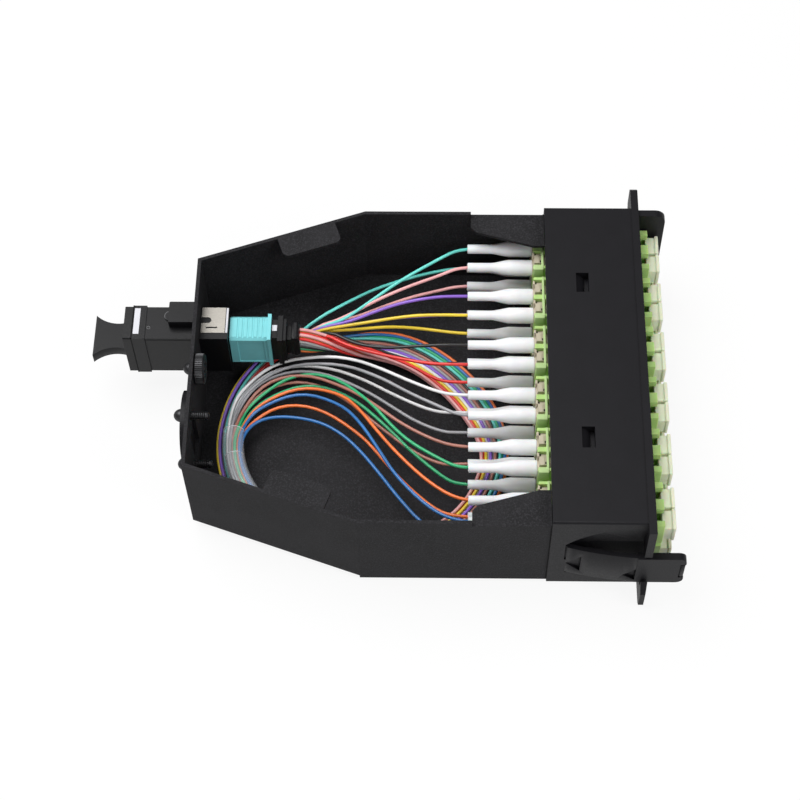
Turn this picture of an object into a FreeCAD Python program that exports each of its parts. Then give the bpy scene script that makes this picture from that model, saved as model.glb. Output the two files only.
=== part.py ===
"""Fibre cassette: a folded steel tray behind a moulded front housing.

An MPO adapter in the rear wall feeds twenty-four fibres, which loop once round the tray floor and fan out to
twelve duplex LC adapters in two rows. Millimetres, Z up. The origin is the centre of the panel opening in the
seating plane, which is the rear face of the housing's flange. X points out of the front, Y lies across.
"""
import FreeCAD, Part
import math
import os

V = FreeCAD.Vector

# ---- driving sizes -------------------------------------------------------------------------------------------

# front housing and its flange
HOUSING_DEPTH = 24.0
HOUSING_WALL = 2.4
SIDE_ROOM = 0.45  # between the housing's side walls and the outermost adapters
ROW_ROOM = 4.45  # between its lower and upper walls and the adapters
FLANGE_THICK = 2.0
FLANGE_SIDE = 3.0  # flange beyond each side of the housing
FLANGE_LIP = 0.4  # flange above and below the housing
EAR_REACH = 3.8  # screw-free ears that rest on the panel's face
EAR_HEIGHT = 8.6
GUIDE_RIB = 2.0  # inner rib that steadies the adapters
GUIDE_RIB_BACK = 12.0  # from the seating plane to the rib's rear face
WINDOW_LENGTH = 3.4
WINDOW_WIDTH = 6.2
WINDOW_SPREAD = 24.0  # each window's centre from the middle plane
WINDOW_BACK = 14.2  # from the seating plane to a window's centre

# finger tab on the far side of the flange
TAB_REACH = 7.6
TAB_THICK = 2.0
TAB_HEIGHT = 23.5
TAB_CORNER = 3.0

# latch lever in the near side wall
LEVER_HEIGHT = 14.0
LEVER_THICK = 1.6
LEVER_MIDDLE = -3.4  # height of the lever's middle
LEVER_BOW = 3.0  # how far the lever stands out of the side wall
LEVER_SAG = 0.45  # how far the arm's middle lies outside the straight line between its ends
LEVER_INSET = 0.35  # the arm's inner face and the pivot, inwards from the wall's outer face
PIVOT_RADIUS = 0.85
PIVOT_BACK = 19.6
PIVOT_FIT = 0.05
POCKET_DEPTH = 1.8
POCKET_RUN = 6.0  # from the pivot to where the pocket has its whole depth
POCKET_ROOM = 0.4  # above and below the lever
POCKET_RISE = 10.5  # how far the thumb scoop rises above the lever
HANDLE_LENGTH = 12.6
HANDLE_THICK = 2.0
HANDLE_BACK = 1.6  # how far it starts behind the seating plane
HANDLE_PROUD = 0.3  # outwards from the arm
HANDLE_SHOULDER = 0.7  # its lower edge above the arm's
HANDLE_CORNER = 2.0
THUMB_REST_LENGTH = 1.4  # recess at the handle's end, with a bead in it
THUMB_REST_DEPTH = 0.7
THUMB_REST_MARGIN = 3.0
BEAD_RADIUS = 0.7
NOTCH_LENGTH = 3.8  # moulded notch beside the pivot
NOTCH_HEIGHT = 8.3
NOTCH_RISE = 2.2  # its lower corner above the lever's lower edge
NOTCH_DEPTH = 2.0
GRIP_NOTCH_LENGTH = 3.2  # smaller notch at the root of the handle
GRIP_NOTCH_HEIGHT = 6.2
GRIP_NOTCH_RISE = 1.4

# folded tray
SHEET = 1.0
TRAY_LENGTH = 95.0
TRAY_STEP = 0.5  # from the housing's sides in to the tray's
TRAY_REAR_WIDTH = 64.6
TRAY_STRAIGHT = 49.5  # length of the parallel side walls
TRAY_HEIGHT = 30.6
TRAY_LIFT = 2.0  # tray floor above the housing's underside
SIDE_LIP = 1.2  # parallel walls reach this far below the floor
GUSSET_LENGTH = 20.2
GUSSET_DROP = 1.3
GUSSET_REAR = 6.0
GUSSET_FRONT = 10.5
COVER_TAB_LENGTH = 16.6
COVER_TAB_DEPTH = 7.4
COVER_TAB_START = 17.5  # along the slanted wall from the parallel wall to the tab's middle
TONGUE_END_GAP = 0.3  # between a tongue's end and the guide rib
TONGUE_WIDTH = 12.0

# duplex adapters, their plugs and caps
COLUMNS = 6
COLUMN_PITCH = 15.9
ROW_PITCH = 11.1
PORT_PITCH = 6.25
ADAPTER_LENGTH = 32.0
ADAPTER_FRONT = 5.0
ADAPTER_WIDTH = 12.8
ADAPTER_HEIGHT = 9.4
ADAPTER_FIT = 0.1
CHANNEL = 4.8
KEYWAY_WIDTH = 3.2  # of the front keyways; the rear ones are as wide as the channel
KEYWAY_LENGTH = 6.5
ADAPTER_WEB = 4.0  # solid middle, which holds the ferrule sleeves
FERRULE_BORE = 1.6
PLUG_SECTION = 4.5
PLUG_LENGTH = 12.0
LATCH_WIDTH = 2.6
BOOT_REAR_RADIUS = 1.4
BOOT_FRONT_RADIUS = 2.35
BOOT_REAR_LENGTH = 6.7
BOOT_FLARE_LENGTH = 4.7
BOOT_FRONT_LENGTH = 6.6
BOOT_SIDES = 8
CAP_SECTION = 4.5
CAP_INSERT = 8.0
CAP_NECK = 2.1
CAP_RIM = 1.0
CAP_RIM_WIDTH = 5.9
CAP_RIM_HEIGHT = 6.6

# multifibre adapter, its plug and cap, in the rear wall
MPO_OFFSET = 15.8
MPO_WIDTH = 10.2
MPO_HEIGHT = 16.5
MPO_OUTSIDE = 17.4
MPO_INSIDE = 8.7
MPO_FIT = 0.1
MPO_CHANNEL_WIDTH = 6.4
MPO_CHANNEL_HEIGHT = 12.0
MPO_COLLAR = 0.3
MPO_COLLAR_LENGTH = 3.6
MPO_BLOCK_LENGTH = 7.4
MPO_BLOCK_WIDTH = 6.6
MPO_BLOCK_RISE = 2.8
CLIP_SHEET = 0.25
CLIP_LENGTH = 6.6
CLIP_WIDTH = 8.2
DUST_PLATE = 2.4
DUST_GRIP_LENGTH = 9.0
DUST_GRIP_THICK = 3.4
DUST_GRIP_NECK = 8.6
DUST_GRIP_FLARE = 13.0
DUST_INSERT = 6.0
CONNECTOR_WIDTH = 6.0
CONNECTOR_HEIGHT = 11.2
CONNECTOR_FIT = 0.12
SLEEVE_LENGTH = 11.3
SLEEVE_WIDTH = 7.8
SLEEVE_HEIGHT = 12.6
SLEEVE_GAP = 0.25
SLEEVE_TRAVEL = 1.5
SLEEVE_RIB = 0.35
SLEEVE_GROOVES = 6
COLLAR_WIDTH = 8.4
COLLAR_LENGTH = 1.4
STEP_LENGTH = 0.9
STRAIN_WIDTH = 5.4
STRAIN_HEIGHT = 8.0
STRAIN_NECK = 1.3
STRAIN_LENGTH = 2.3

# blanked second opening beside it
BLANK_OFFSET = -15.6
BLANK_WIDTH = 19.6
BLANK_HEIGHT = 24.0
BLANK_RISE = 3.0  # its middle above the tray's
BLANK_THICK = 1.3
BLANK_CORNER = 9.0
BLANK_SCREWS = [(-6.7, -2.2), (0.0, 12.0)]  # across and up, from the opening's middle
OPENING_WIDTH = 8.6
OPENING_HEIGHT = 16.0
SCREW_RADIUS = 1.15
SCREW_FIT = 0.05
SCREW_REACH = 6.0
HEAD_RADIUS = 1.8
HEAD_RISE = 2.1
NUT_RADIUS = 4.2
NUT_FLATS = 16
NUT_THICK = 2.8
MPO_SCREW = (-16.2, 10.8)  # fixing screw, across and up from the multifibre adapter's middle

# fibres and the clear tubes over them
FIBRE_DIAMETER = 0.9
FIBRE_SIDES = 4
BUNDLE_SIDES = 6
TUBE_SIDES = 8
TRUNK_RADIUS = 2.5
BRANCH_RADIUS = 1.75
FAN_PITCH = 0.98  # spacing of the fibres where a branch opens into tails
FAN_RISE = 1.5  # spacing of the two layers there
FAN_MARGIN = 0.1
TUBE_RADIUS = 2.9
TUBE_WALL = 0.3
TUBE_FIT = 0.1
TUBE_START = 14.6  # along the near branch, where both tubes start
OUTER_TUBE_LENGTH = 23.0
INNER_TUBE_LENGTH = 14.9
ARC_SHARE = 0.45  # share of the shorter run that each bend takes
CHORD_TURN = 0.25  # most that a flat-sided strand turns at one mitre
FLATNESS = 1e-6  # a side that is warped more than this is made of two triangles

# ---- places that follow from the sizes ----------------------------------------------------------------------

HOUSING_WIDTH = (COLUMNS - 1) * COLUMN_PITCH + ADAPTER_WIDTH + 2 * (SIDE_ROOM + HOUSING_WALL)
HOUSING_HEIGHT = ROW_PITCH + ADAPTER_HEIGHT + 2 * (ROW_ROOM + HOUSING_WALL)
TRAY_WIDTH = HOUSING_WIDTH - 2 * TRAY_STEP
JOINT_X = -HOUSING_DEPTH
REAR_X = JOINT_X - TRAY_LENGTH
HALF_HEIGHT = HOUSING_HEIGHT / 2
SIDE_Y = HOUSING_WIDTH / 2
FLOOR_Z = -HALF_HEIGHT + TRAY_LIFT
TRAY_TOP_Z = FLOOR_Z + TRAY_HEIGHT
MID_Z = FLOOR_Z + TRAY_HEIGHT / 2
ADAPTER_REAR = ADAPTER_FRONT - ADAPTER_LENGTH
BOOT_LENGTH = BOOT_REAR_LENGTH + BOOT_FLARE_LENGTH + BOOT_FRONT_LENGTH
BOOT_REAR_X = ADAPTER_REAR - BOOT_LENGTH
BEND_X = JOINT_X - TRAY_STRAIGHT
MPO_REAR_X = REAR_X - MPO_OUTSIDE
MPO_FRONT_X = REAR_X + MPO_INSIDE
SLEEVE_X = MPO_FRONT_X + SLEEVE_GAP
COLLAR_X = SLEEVE_X + SLEEVE_LENGTH + SLEEVE_TRAVEL + SLEEVE_GAP
STRAIN_X = COLLAR_X + COLLAR_LENGTH + STEP_LENGTH
TRUNK_X = STRAIN_X + STRAIN_NECK + STRAIN_LENGTH

# ---- routes of the fibres -----------------------------------------------------------------------------------
# Each is a list of points chosen by eye: straight runs between them are joined by arcs.

# from the multifibre connector round the floor, under the tails, to where the two branches part
TRUNK = [
    (TRUNK_X, MPO_OFFSET, MID_Z), (-86.3, 15.7, -2.6), (-80, 18.2, -8), (-70, 21, -10.2), (-58.5, 18.6, -11),
    (-45.5, 6.5, -11.2), (-36.2, -9.5, -11.2), (-37.8, -22, -11.2), (-44.5, -35.5, -11.2), (-60, -42.8, -11.2),
    (-77, -42, -11.2), (-88, -38.6, -11.2),
]
NEAR_BRANCH = [
    (-87.57, -37.2, -9.2), (-97, -35.2, -7.8), (-105, -26.9, -7.2), (-109.1, -15.3, -7.2), (-108.6, -6.8, -7.4),
]
FAR_BRANCH = [
    (-88.43, -40, -12.1), (-97, -36.8, -12.1), (-107.6, -29.2, -12.1), (-112.6, -14, -12.1), (-111, 0, -11.4),
    (-106, 11.5, -10.4), (-98, 21.2, -9.4), (-89.5, 22.8, -1.6),
]

# shape points of the tails, near side to far side; each tail ends in its own boot
NEAR_LOWER = [
    [(-101.6, -0.6, -7.9), (-83, -4.8, -7), (-66, -27, -6)],
    [(-102.6, 1.4, -7.9), (-82.5, -1.2, -7), (-62, -27, -6)],
    [(-103.5, 2.7, -7.9), (-83, 6.8, -7), (-61.5, -15, -6)],
    [(-105.2, 4.8, -7.9), (-82.5, 9.4, -7), (-62.5, -10.5, -6)],
    [(-106.6, 6.8, -7.9), (-83, 11.4, -7), (-63, -4.5, -6)],
    [(-108, 9, -7.9), (-83, 13.2, -7), (-63.5, 0.5, -6)],
]
NEAR_UPPER = [
    [(-102.8, -0.2, -6.5), (-85, 4.8, -2.9), (-67.5, -24, 3)],
    [(-103.6, 1.4, -6.5), (-83.5, 6.2, -2.8), (-63.5, -23.5, 3)],
    [(-104.8, 3.8, -6.5), (-84, 9.8, -2.6), (-62.5, -16, 3)],
    [(-105.9, 5.6, -6.5), (-84, 11.2, -2.5), (-63, -9, 3)],
    [(-107.2, 7.4, -6.5), (-83.5, 12.4, -2.4), (-63.5, -1.5, 3)],
    [(-108.8, 8.4, -7.3), (-85.5, 13.8, -5.5), (-64, 2.6, 3)],
]
FAR_LOWER = [
    [(-84, 18.4, 0.1), (-72, 12, -3)],
    [(-75, 17.8, -2.9)],
    [(-74, 23.5, -3.8)],
    [(-74, 27, -4)],
    [(-73, 32, -4.2)],
    [(-73, 36, -4.4)],
]
FAR_UPPER = [
    [(-84, 18.8, 1.5), (-72, 13, 2.6)],
    [(-75, 18.5, 1.2)],
    [(-74, 23, 1.4)],
    [(-74, 27.5, 1.6)],
    [(-73, 31, 1.8)],
    [(-73, 35, 2)],
]
TAIL_LEAD = 10.0  # straight run into each boot
COLOURS = [
    "blue", "orange", "green", "brown", "slate", "white", "red", "black", "yellow", "violet", "rose", "aqua",
]


def column_y(column):
    """Middle of an adapter column, counted from the near side."""
    return (column - (COLUMNS - 1) / 2) * COLUMN_PITCH


def row_z(row):
    """Middle of a port row: row 0 is the lower one."""
    return (row - 0.5) * ROW_PITCH


def port_y(column, side):
    """Axis of one port of a duplex adapter: side -1 is the near one."""
    return column_y(column) + side * PORT_PITCH / 2


# ---- small helpers ------------------------------------------------------------------------------------------


def block(x0, x1, y0, y1, z0, z1):
    """Box between two corners."""
    return Part.makeBox(x1 - x0, y1 - y0, z1 - z0, V(x0, y0, z0))


def centred(x0, x1, y, width, z, height):
    """Box along X with its section centred on (y, z)."""
    return block(x0, x1, y - width / 2, y + width / 2, z - height / 2, z + height / 2)


def plan_solid(points, z0, z1):
    """Prism over an outline in plan."""
    wire = Part.makePolygon([V(x, y, z0) for x, y in points + points[:1]])
    return Part.Face(wire).extrude(V(0, 0, z1 - z0))


def side_solid(points, y0, y1):
    """Prism across, over an outline in the XZ plane."""
    wire = Part.makePolygon([V(x, y0, z) for x, z in points + points[:1]])
    return Part.Face(wire).extrude(V(0, y1 - y0, 0))


def end_solid(points, x0, x1):
    """Prism along X, over an outline in the YZ plane."""
    wire = Part.makePolygon([V(x0, y, z) for y, z in points + points[:1]])
    return Part.Face(wire).extrude(V(x1 - x0, 0, 0))


def rod(x0, x1, y, z, radius):
    """Cylinder along X."""
    return Part.makeCylinder(radius, x1 - x0, V(x0, y, z), V(1, 0, 0))


def round_edges(shape, radius, direction):
    """Fillet every straight edge that lies along a direction."""
    chosen = []
    for edge in shape.Edges:
        if edge.Curve.TypeId != "Part::GeomLine":
            continue
        along = edge.tangentAt(edge.FirstParameter)
        if abs(along.dot(direction)) > 0.999:
            chosen.append(edge)
    return shape.makeFillet(radius, chosen)


def fused(shapes):
    """Union of several shapes, with coplanar faces merged."""
    whole = shapes[0].multiFuse(shapes[1:]) if len(shapes) > 1 else shapes[0]
    return whole.removeSplitter()


def flat_face(corners):
    """Flat face through corners given in order."""
    return Part.Face(Part.makePolygon(corners + corners[:1]))


def flat_sided(rings):
    """Solid through rings of as many corners each, closed at both ends."""
    faces = [flat_face(rings[0]), flat_face(rings[-1])]
    for back, front in zip(rings, rings[1:]):
        for i in range(len(back)):
            a, b, c, d = back[i - 1], back[i], front[i], front[i - 1]
            warp = abs((b - a).cross(d - a).normalize().dot(c - a))
            if warp < FLATNESS:
                faces.append(flat_face([a, b, c, d]))
            else:
                faces += [flat_face([a, b, c]), flat_face([a, c, d])]
    return Part.Solid(Part.Shell(faces))


def save(node, shape):
    """Write one sub-part."""
    shape.exportStep("parts/" + node + ".step")


# ---- tray ---------------------------------------------------------------------------------------------------


def tray_outline(inset):
    """Plan outline of the tray, inset by a sheet thickness or by nothing."""
    half = TRAY_WIDTH / 2
    rear = TRAY_REAR_WIDTH / 2
    slant = math.atan2(half - rear, TRAY_LENGTH - TRAY_STRAIGHT)
    bend_shift = inset * math.tan(slant / 2)
    rear_shift = inset * math.tan((math.pi / 2 - slant) / 2)
    near = [
        (JOINT_X, -half + inset),
        (BEND_X - bend_shift, -half + inset),
        (REAR_X + inset, -rear + rear_shift),
    ]
    return near + [(x, -y) for x, y in reversed(near)]


def cover_tab(side):
    """Cover rest, bent inwards from the top of a slanted wall."""
    half = TRAY_WIDTH / 2
    slant = math.atan2(half - TRAY_REAR_WIDTH / 2, TRAY_LENGTH - TRAY_STRAIGHT)
    corner = 1.8
    length = COVER_TAB_LENGTH / 2
    tab = block(-length, length, -SHEET, COVER_TAB_DEPTH, TRAY_TOP_Z - SHEET, TRAY_TOP_Z)
    inner = [e for e in tab.Edges if abs(e.Vertexes[0].Z - e.Vertexes[-1].Z) > SHEET / 2 and e.CenterOfMass.y > 0]
    tab = tab.makeFillet(corner, inner)
    tab = tab.common(block(-length, length, 0, COVER_TAB_DEPTH, TRAY_TOP_Z - SHEET, TRAY_TOP_Z))
    tab.rotate(V(0, 0, 0), V(0, 0, 1), -math.degrees(slant))
    along = COVER_TAB_START
    tab.translate(V(BEND_X - along * math.cos(slant), -half + along * math.sin(slant), 0))
    return tab.mirror(V(0, 0, 0), V(0, 1, 0)) if side > 0 else tab


def gusset(side):
    """Triangular corner flange that stiffens a parallel wall beside the housing."""
    wall = TRAY_WIDTH / 2
    back = JOINT_X - GUSSET_LENGTH
    top = TRAY_TOP_Z - GUSSET_DROP
    outline = [
        (JOINT_X, wall),
        (back, wall),
        (back, wall - GUSSET_REAR + 1.5),
        (back + 1.5, wall - GUSSET_REAR),
        (JOINT_X - 3.0, wall - GUSSET_FRONT),
        (JOINT_X, wall - GUSSET_FRONT),
    ]
    plate = plan_solid(outline, top - SHEET, top)
    return plate if side > 0 else plate.mirror(V(0, 0, 0), V(0, 1, 0))


def tongue(side):
    """Floor tongue that slides over the housing's lower wall and snaps into its window."""
    middle = side * WINDOW_SPREAD
    inside = -HALF_HEIGHT + HOUSING_WALL
    strip = block(
        JOINT_X - 3.0, -GUIDE_RIB_BACK - TONGUE_END_GAP, middle - TONGUE_WIDTH / 2, middle + TONGUE_WIDTH / 2,
        inside, inside + SHEET,
    )
    snap_x = -WINDOW_BACK
    half = WINDOW_LENGTH / 2 - 0.3
    ramp = side_solid(
        [(snap_x - half, inside), (snap_x + half, inside), (snap_x - half, inside - 1.2)],
        middle - WINDOW_WIDTH / 2 + 0.4, middle + WINDOW_WIDTH / 2 - 0.4,
    )
    return [strip, ramp]


def rear_openings():
    """Cut-outs of the rear wall: two adapter openings and three screw holes."""
    x0 = REAR_X - SHEET
    x1 = REAR_X + 2 * SHEET
    cuts = [
        centred(x0, x1, MPO_OFFSET, MPO_WIDTH + 2 * MPO_FIT, MID_Z, MPO_HEIGHT + 2 * MPO_FIT),
        centred(x0, x1, BLANK_OFFSET, OPENING_WIDTH, MID_Z, OPENING_HEIGHT),
    ]
    cuts += [rod(x0, x1, y, z, SCREW_RADIUS + SCREW_FIT) for y, z in screw_places()]
    return cuts


def screw_places():
    """Y and Z of the rear wall's screws: two in the blanking plate, one beside the multifibre adapter."""
    places = [(BLANK_OFFSET + across, MID_Z + up) for across, up in BLANK_SCREWS]
    return places + [(MPO_OFFSET + MPO_SCREW[0], MID_Z + MPO_SCREW[1])]


def tray():
    outer = tray_outline(0)
    inner = tray_outline(SHEET)
    shell = plan_solid(outer, FLOOR_Z, TRAY_TOP_Z)
    inner[0] = (JOINT_X + SHEET, inner[0][1])
    inner[-1] = (JOINT_X + SHEET, inner[-1][1])
    shell = shell.cut(plan_solid(inner, FLOOR_Z + SHEET, TRAY_TOP_Z + SHEET))
    half = TRAY_WIDTH / 2
    pieces = [shell]
    drops = []
    for side in (-1, 1):
        wall_y = side * (half - SHEET / 2)
        lip_z = FLOOR_Z - SIDE_LIP / 2
        pieces.append(centred(BEND_X, JOINT_X, wall_y, SHEET, lip_z, SIDE_LIP))
        pieces.append(cover_tab(side))
        pieces.append(gusset(side))
        pieces += tongue(side)
        drops.append(centred(
            JOINT_X - GUSSET_LENGTH, JOINT_X + SHEET, wall_y, 3 * SHEET, TRAY_TOP_Z, 2 * GUSSET_DROP,
        ))
    body = shell.multiFuse(pieces[1:])
    body = body.cut(drops + rear_openings())
    return body.removeSplitter()


# ---- front housing ------------------------------------------------------------------------------------------


def adapter_cuts(x0, x1):
    """Openings for all adapters through a wall between x0 and x1."""
    cuts = []
    for row in (0, 1):
        for column in range(COLUMNS):
            cuts.append(centred(
                x0, x1, column_y(column), ADAPTER_WIDTH + 2 * ADAPTER_FIT,
                row_z(row), ADAPTER_HEIGHT + 2 * ADAPTER_FIT,
            ))
    return cuts


def flange_plate():
    """Front flange with an upper far ear, a lower near ear and the lever's notch."""
    half = SIDE_Y + FLANGE_SIDE
    top = HALF_HEIGHT + FLANGE_LIP
    tip = half + EAR_REACH
    ear = top - EAR_HEIGHT
    outline = [
        (-half, top), (half - EAR_REACH, top), (tip - 1.2, top), (tip, top - 1.2),
        (tip, ear + 1.2), (tip - 1.2, ear), (half, ear - 1.5), (half, -top),
        (-tip + 1.2, -top), (-tip, -top + 1.2), (-tip, -ear - 1.2), (-tip + 1.2, -ear), (-half, -ear + 1.5),
    ]
    plate = end_solid(outline, 0, FLANGE_THICK)
    wedge = plan_solid(
        [(FLANGE_THICK, -half), (FLANGE_THICK + 1, -half), (FLANGE_THICK + 1, -tip - 1), (FLANGE_THICK - 0.8, -tip - 1)],
        -top - 1, -ear + 2,
    )
    return plate.cut(wedge)


def lever_window():
    """Pocket that the lever swings into, from its pivot out through the flange."""
    bottom = LEVER_MIDDLE - LEVER_HEIGHT / 2 - POCKET_ROOM
    top = LEVER_MIDDLE + LEVER_HEIGHT / 2 + POCKET_ROOM
    outside = -SIDE_Y - FLANGE_SIDE - 1
    floor_y = -SIDE_Y + POCKET_DEPTH
    pocket = plan_solid(
        [
            (-PIVOT_BACK, -SIDE_Y + PIVOT_RADIUS + 0.3), (-PIVOT_BACK + POCKET_RUN, floor_y),
            (FLANGE_THICK + 1, floor_y), (FLANGE_THICK + 1, outside), (-PIVOT_BACK, outside),
        ],
        bottom, top,
    )
    socket = Part.makeCylinder(
        PIVOT_RADIUS + PIVOT_FIT, top - bottom, V(-PIVOT_BACK, -SIDE_Y + PIVOT_RADIUS + LEVER_INSET, bottom)
    )
    return [pocket, socket]


def thumb_scoop():
    """Scoop above the lever, deepest at the lever and widest at the flange."""
    start = V(-PIVOT_BACK - 0.5, 0, LEVER_MIDDLE + LEVER_HEIGHT / 2 + 1.4)
    middle = V(-PIVOT_BACK / 2, 0, start.z + POCKET_RISE * 0.72)
    end = V(-1.5, 0, start.z + POCKET_RISE - 1.4)
    low = LEVER_MIDDLE
    edges = [
        Part.Arc(start, middle, end).toShape(),
        Part.makePolygon([end, V(0, 0, end.z), V(0, 0, low), V(start.x, 0, low), start]),
    ]
    face = Part.Face(Part.Wire([edges[0]] + edges[1].Edges))
    face.translate(V(0, -SIDE_Y - 1, 0))
    reach = face.extrude(V(0, POCKET_DEPTH + 1, 0))
    top = LEVER_MIDDLE + LEVER_HEIGHT / 2 + POCKET_RISE
    slope = end_solid(
        [(-SIDE_Y - 1, top), (-SIDE_Y, top), (-SIDE_Y + POCKET_DEPTH, top - POCKET_RISE), (-SIDE_Y + POCKET_DEPTH, low),
         (-SIDE_Y - 1, low)],
        -PIVOT_BACK - 1, 0,
    )
    return reach.common(slope)


def finger_tab():
    """Fixed tab in front of the flange, opposite the lever's handle."""
    inner = column_y(COLUMNS - 1) + ADAPTER_WIDTH / 2 + 0.4
    top = HALF_HEIGHT - 0.6
    tab = block(
        FLANGE_THICK - 0.5, FLANGE_THICK + TAB_REACH, inner, inner + TAB_THICK, top - TAB_HEIGHT, top
    )
    corners = [
        e for e in tab.Edges
        if abs(e.tangentAt(e.FirstParameter).y) > 0.99 and e.CenterOfMass.x > FLANGE_THICK + TAB_REACH - 0.1
    ]
    return tab.makeFillet(TAB_CORNER, corners)


def front_housing():
    tube = block(-HOUSING_DEPTH, 0, -SIDE_Y, SIDE_Y, -HALF_HEIGHT, HALF_HEIGHT)
    tube = round_edges(tube, 0.6, V(1, 0, 0))
    inner = HOUSING_WALL
    bore = block(
        -HOUSING_DEPTH - 1, 0, -SIDE_Y + inner, SIDE_Y - inner, -HALF_HEIGHT + inner, HALF_HEIGHT - inner
    )
    rib = block(
        -GUIDE_RIB_BACK, -GUIDE_RIB_BACK + GUIDE_RIB, -SIDE_Y + inner, SIDE_Y - inner,
        -HALF_HEIGHT + inner, HALF_HEIGHT - inner,
    )
    snaps = []
    cuts = adapter_cuts(-GUIDE_RIB_BACK - 1, FLANGE_THICK + 1)
    for side in (-1, 1):
        middle = side * WINDOW_SPREAD
        for level in (-1, 1):
            cuts.append(centred(
                -WINDOW_BACK - WINDOW_LENGTH / 2, -WINDOW_BACK + WINDOW_LENGTH / 2,
                middle, WINDOW_WIDTH, level * (HALF_HEIGHT - inner / 2), inner * 1.2,
            ))
        left = -WINDOW_BACK - WINDOW_LENGTH / 2
        inside = HALF_HEIGHT - inner
        snaps.append(side_solid(
            [(left - 0.3, inside), (left + 2.2, inside), (left - 0.3, HALF_HEIGHT - 0.5)],
            middle - WINDOW_WIDTH / 2, middle + WINDOW_WIDTH / 2,
        ))
    body = tube.cut(bore)
    body = body.multiFuse([rib, flange_plate(), finger_tab()])
    body = body.cut(cuts + lever_window() + [thumb_scoop()])
    return body.multiFuse(snaps).removeSplitter()


# ---- latch lever --------------------------------------------------------------------------------------------


def lever_curve(offset):
    """Bowed line of the lever in plan, at an offset outwards from its inner face."""
    start = V(-PIVOT_BACK, -SIDE_Y + LEVER_THICK - offset, 0)
    end = V(-0.5, -SIDE_Y - LEVER_BOW + LEVER_THICK - offset, 0)
    middle = V((start.x + end.x) / 2, (start.y + end.y) / 2 - LEVER_SAG, 0)
    return start, middle, end


def side_notch(root, foot, height, length, y0, y1):
    """Three-cornered notch in the lever, pointing back from an upright edge at root."""
    return side_solid([(root, foot + height), (root, foot), (root - length, foot + 0.35 * height)], y0, y1)


def latch_lever():
    bottom = LEVER_MIDDLE - LEVER_HEIGHT / 2
    top = bottom + LEVER_HEIGHT
    a0, a1, a2 = lever_curve(LEVER_INSET)
    b0, b1, b2 = lever_curve(LEVER_THICK)
    edges = [
        Part.Arc(a0, a1, a2).toShape(),
        Part.makeLine(a2, b2),
        Part.Arc(b2, b1, b0).toShape(),
        Part.makeLine(b0, a0),
    ]
    arm = Part.Face(Part.Wire(edges)).extrude(V(0, 0, LEVER_HEIGHT))
    arm.translate(V(0, 0, bottom))
    pivot = Part.makeCylinder(PIVOT_RADIUS, LEVER_HEIGHT, V(-PIVOT_BACK, -SIDE_Y + PIVOT_RADIUS + LEVER_INSET, bottom))
    outer = -SIDE_Y - LEVER_BOW - HANDLE_PROUD
    tip = HANDLE_LENGTH - HANDLE_BACK
    grip = block(-HANDLE_BACK, tip, outer, outer + HANDLE_THICK, bottom + HANDLE_SHOULDER, top)
    ends = [
        e for e in grip.Edges
        if abs(e.tangentAt(e.FirstParameter).y) > 0.99 and e.CenterOfMass.x > 0
    ]
    grip = grip.makeFillet(HANDLE_CORNER, ends)
    foot = bottom + HANDLE_SHOULDER + THUMB_REST_MARGIN
    thumb_rest = block(
        tip - THUMB_REST_LENGTH, tip, outer - 0.1, outer + THUMB_REST_DEPTH, foot, top - THUMB_REST_MARGIN
    )
    bead = Part.makeCylinder(
        BEAD_RADIUS, top - THUMB_REST_MARGIN - foot - 1, V(tip - BEAD_RADIUS, outer + BEAD_RADIUS, foot + 0.5)
    )
    notches = [
        side_notch(
            -PIVOT_BACK + NOTCH_LENGTH, bottom + NOTCH_RISE, NOTCH_HEIGHT, NOTCH_LENGTH,
            -SIDE_Y - NOTCH_DEPTH, -SIDE_Y + 0.1,
        ),
        side_notch(
            -HANDLE_BACK, bottom + GRIP_NOTCH_RISE, GRIP_NOTCH_HEIGHT, GRIP_NOTCH_LENGTH,
            outer - 1, outer + THUMB_REST_DEPTH + 0.5,
        ),
    ]
    lever = arm.multiFuse([pivot, grip])
    lever = lever.cut(notches + [thumb_rest])
    return lever.fuse(bead).removeSplitter()


# ---- duplex adapters, plugs, boots and caps -----------------------------------------------------------------


def duplex_adapter(column, row):
    y = column_y(column)
    z = row_z(row)
    body = centred(ADAPTER_REAR, ADAPTER_FRONT, y, ADAPTER_WIDTH, z, ADAPTER_HEIGHT)
    web = (ADAPTER_REAR + ADAPTER_FRONT) / 2
    cuts = []
    for side in (-1, 1):
        port = port_y(column, side)
        top = z + ADAPTER_HEIGHT / 2 + 1
        cuts.append(centred(ADAPTER_REAR - 1, web - ADAPTER_WEB / 2, port, CHANNEL, z, CHANNEL))
        cuts.append(centred(web + ADAPTER_WEB / 2, ADAPTER_FRONT + 1, port, CHANNEL, z, CHANNEL))
        for x0, x1, width in (
            (ADAPTER_REAR - 1, ADAPTER_REAR + KEYWAY_LENGTH, CHANNEL),
            (ADAPTER_FRONT - KEYWAY_LENGTH, ADAPTER_FRONT + 1, KEYWAY_WIDTH),
        ):
            cuts.append(block(x0, x1, port - width / 2, port + width / 2, z, top))
    return body.cut(cuts)


def plug(column, side, row):
    y = port_y(column, side)
    z = row_z(row)
    top = z + PLUG_SECTION / 2
    body = centred(ADAPTER_REAR, ADAPTER_REAR + PLUG_LENGTH, y, PLUG_SECTION, z, PLUG_SECTION)
    latch = side_solid(
        [
            (ADAPTER_REAR + 5.6, top), (ADAPTER_REAR + 0.4, top),
            (ADAPTER_REAR + 0.4, top + 2.0), (ADAPTER_REAR + 1.6, top + 2.0),
        ],
        y - LATCH_WIDTH / 2, y + LATCH_WIDTH / 2,
    )
    return body.fuse(latch).removeSplitter()


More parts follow.
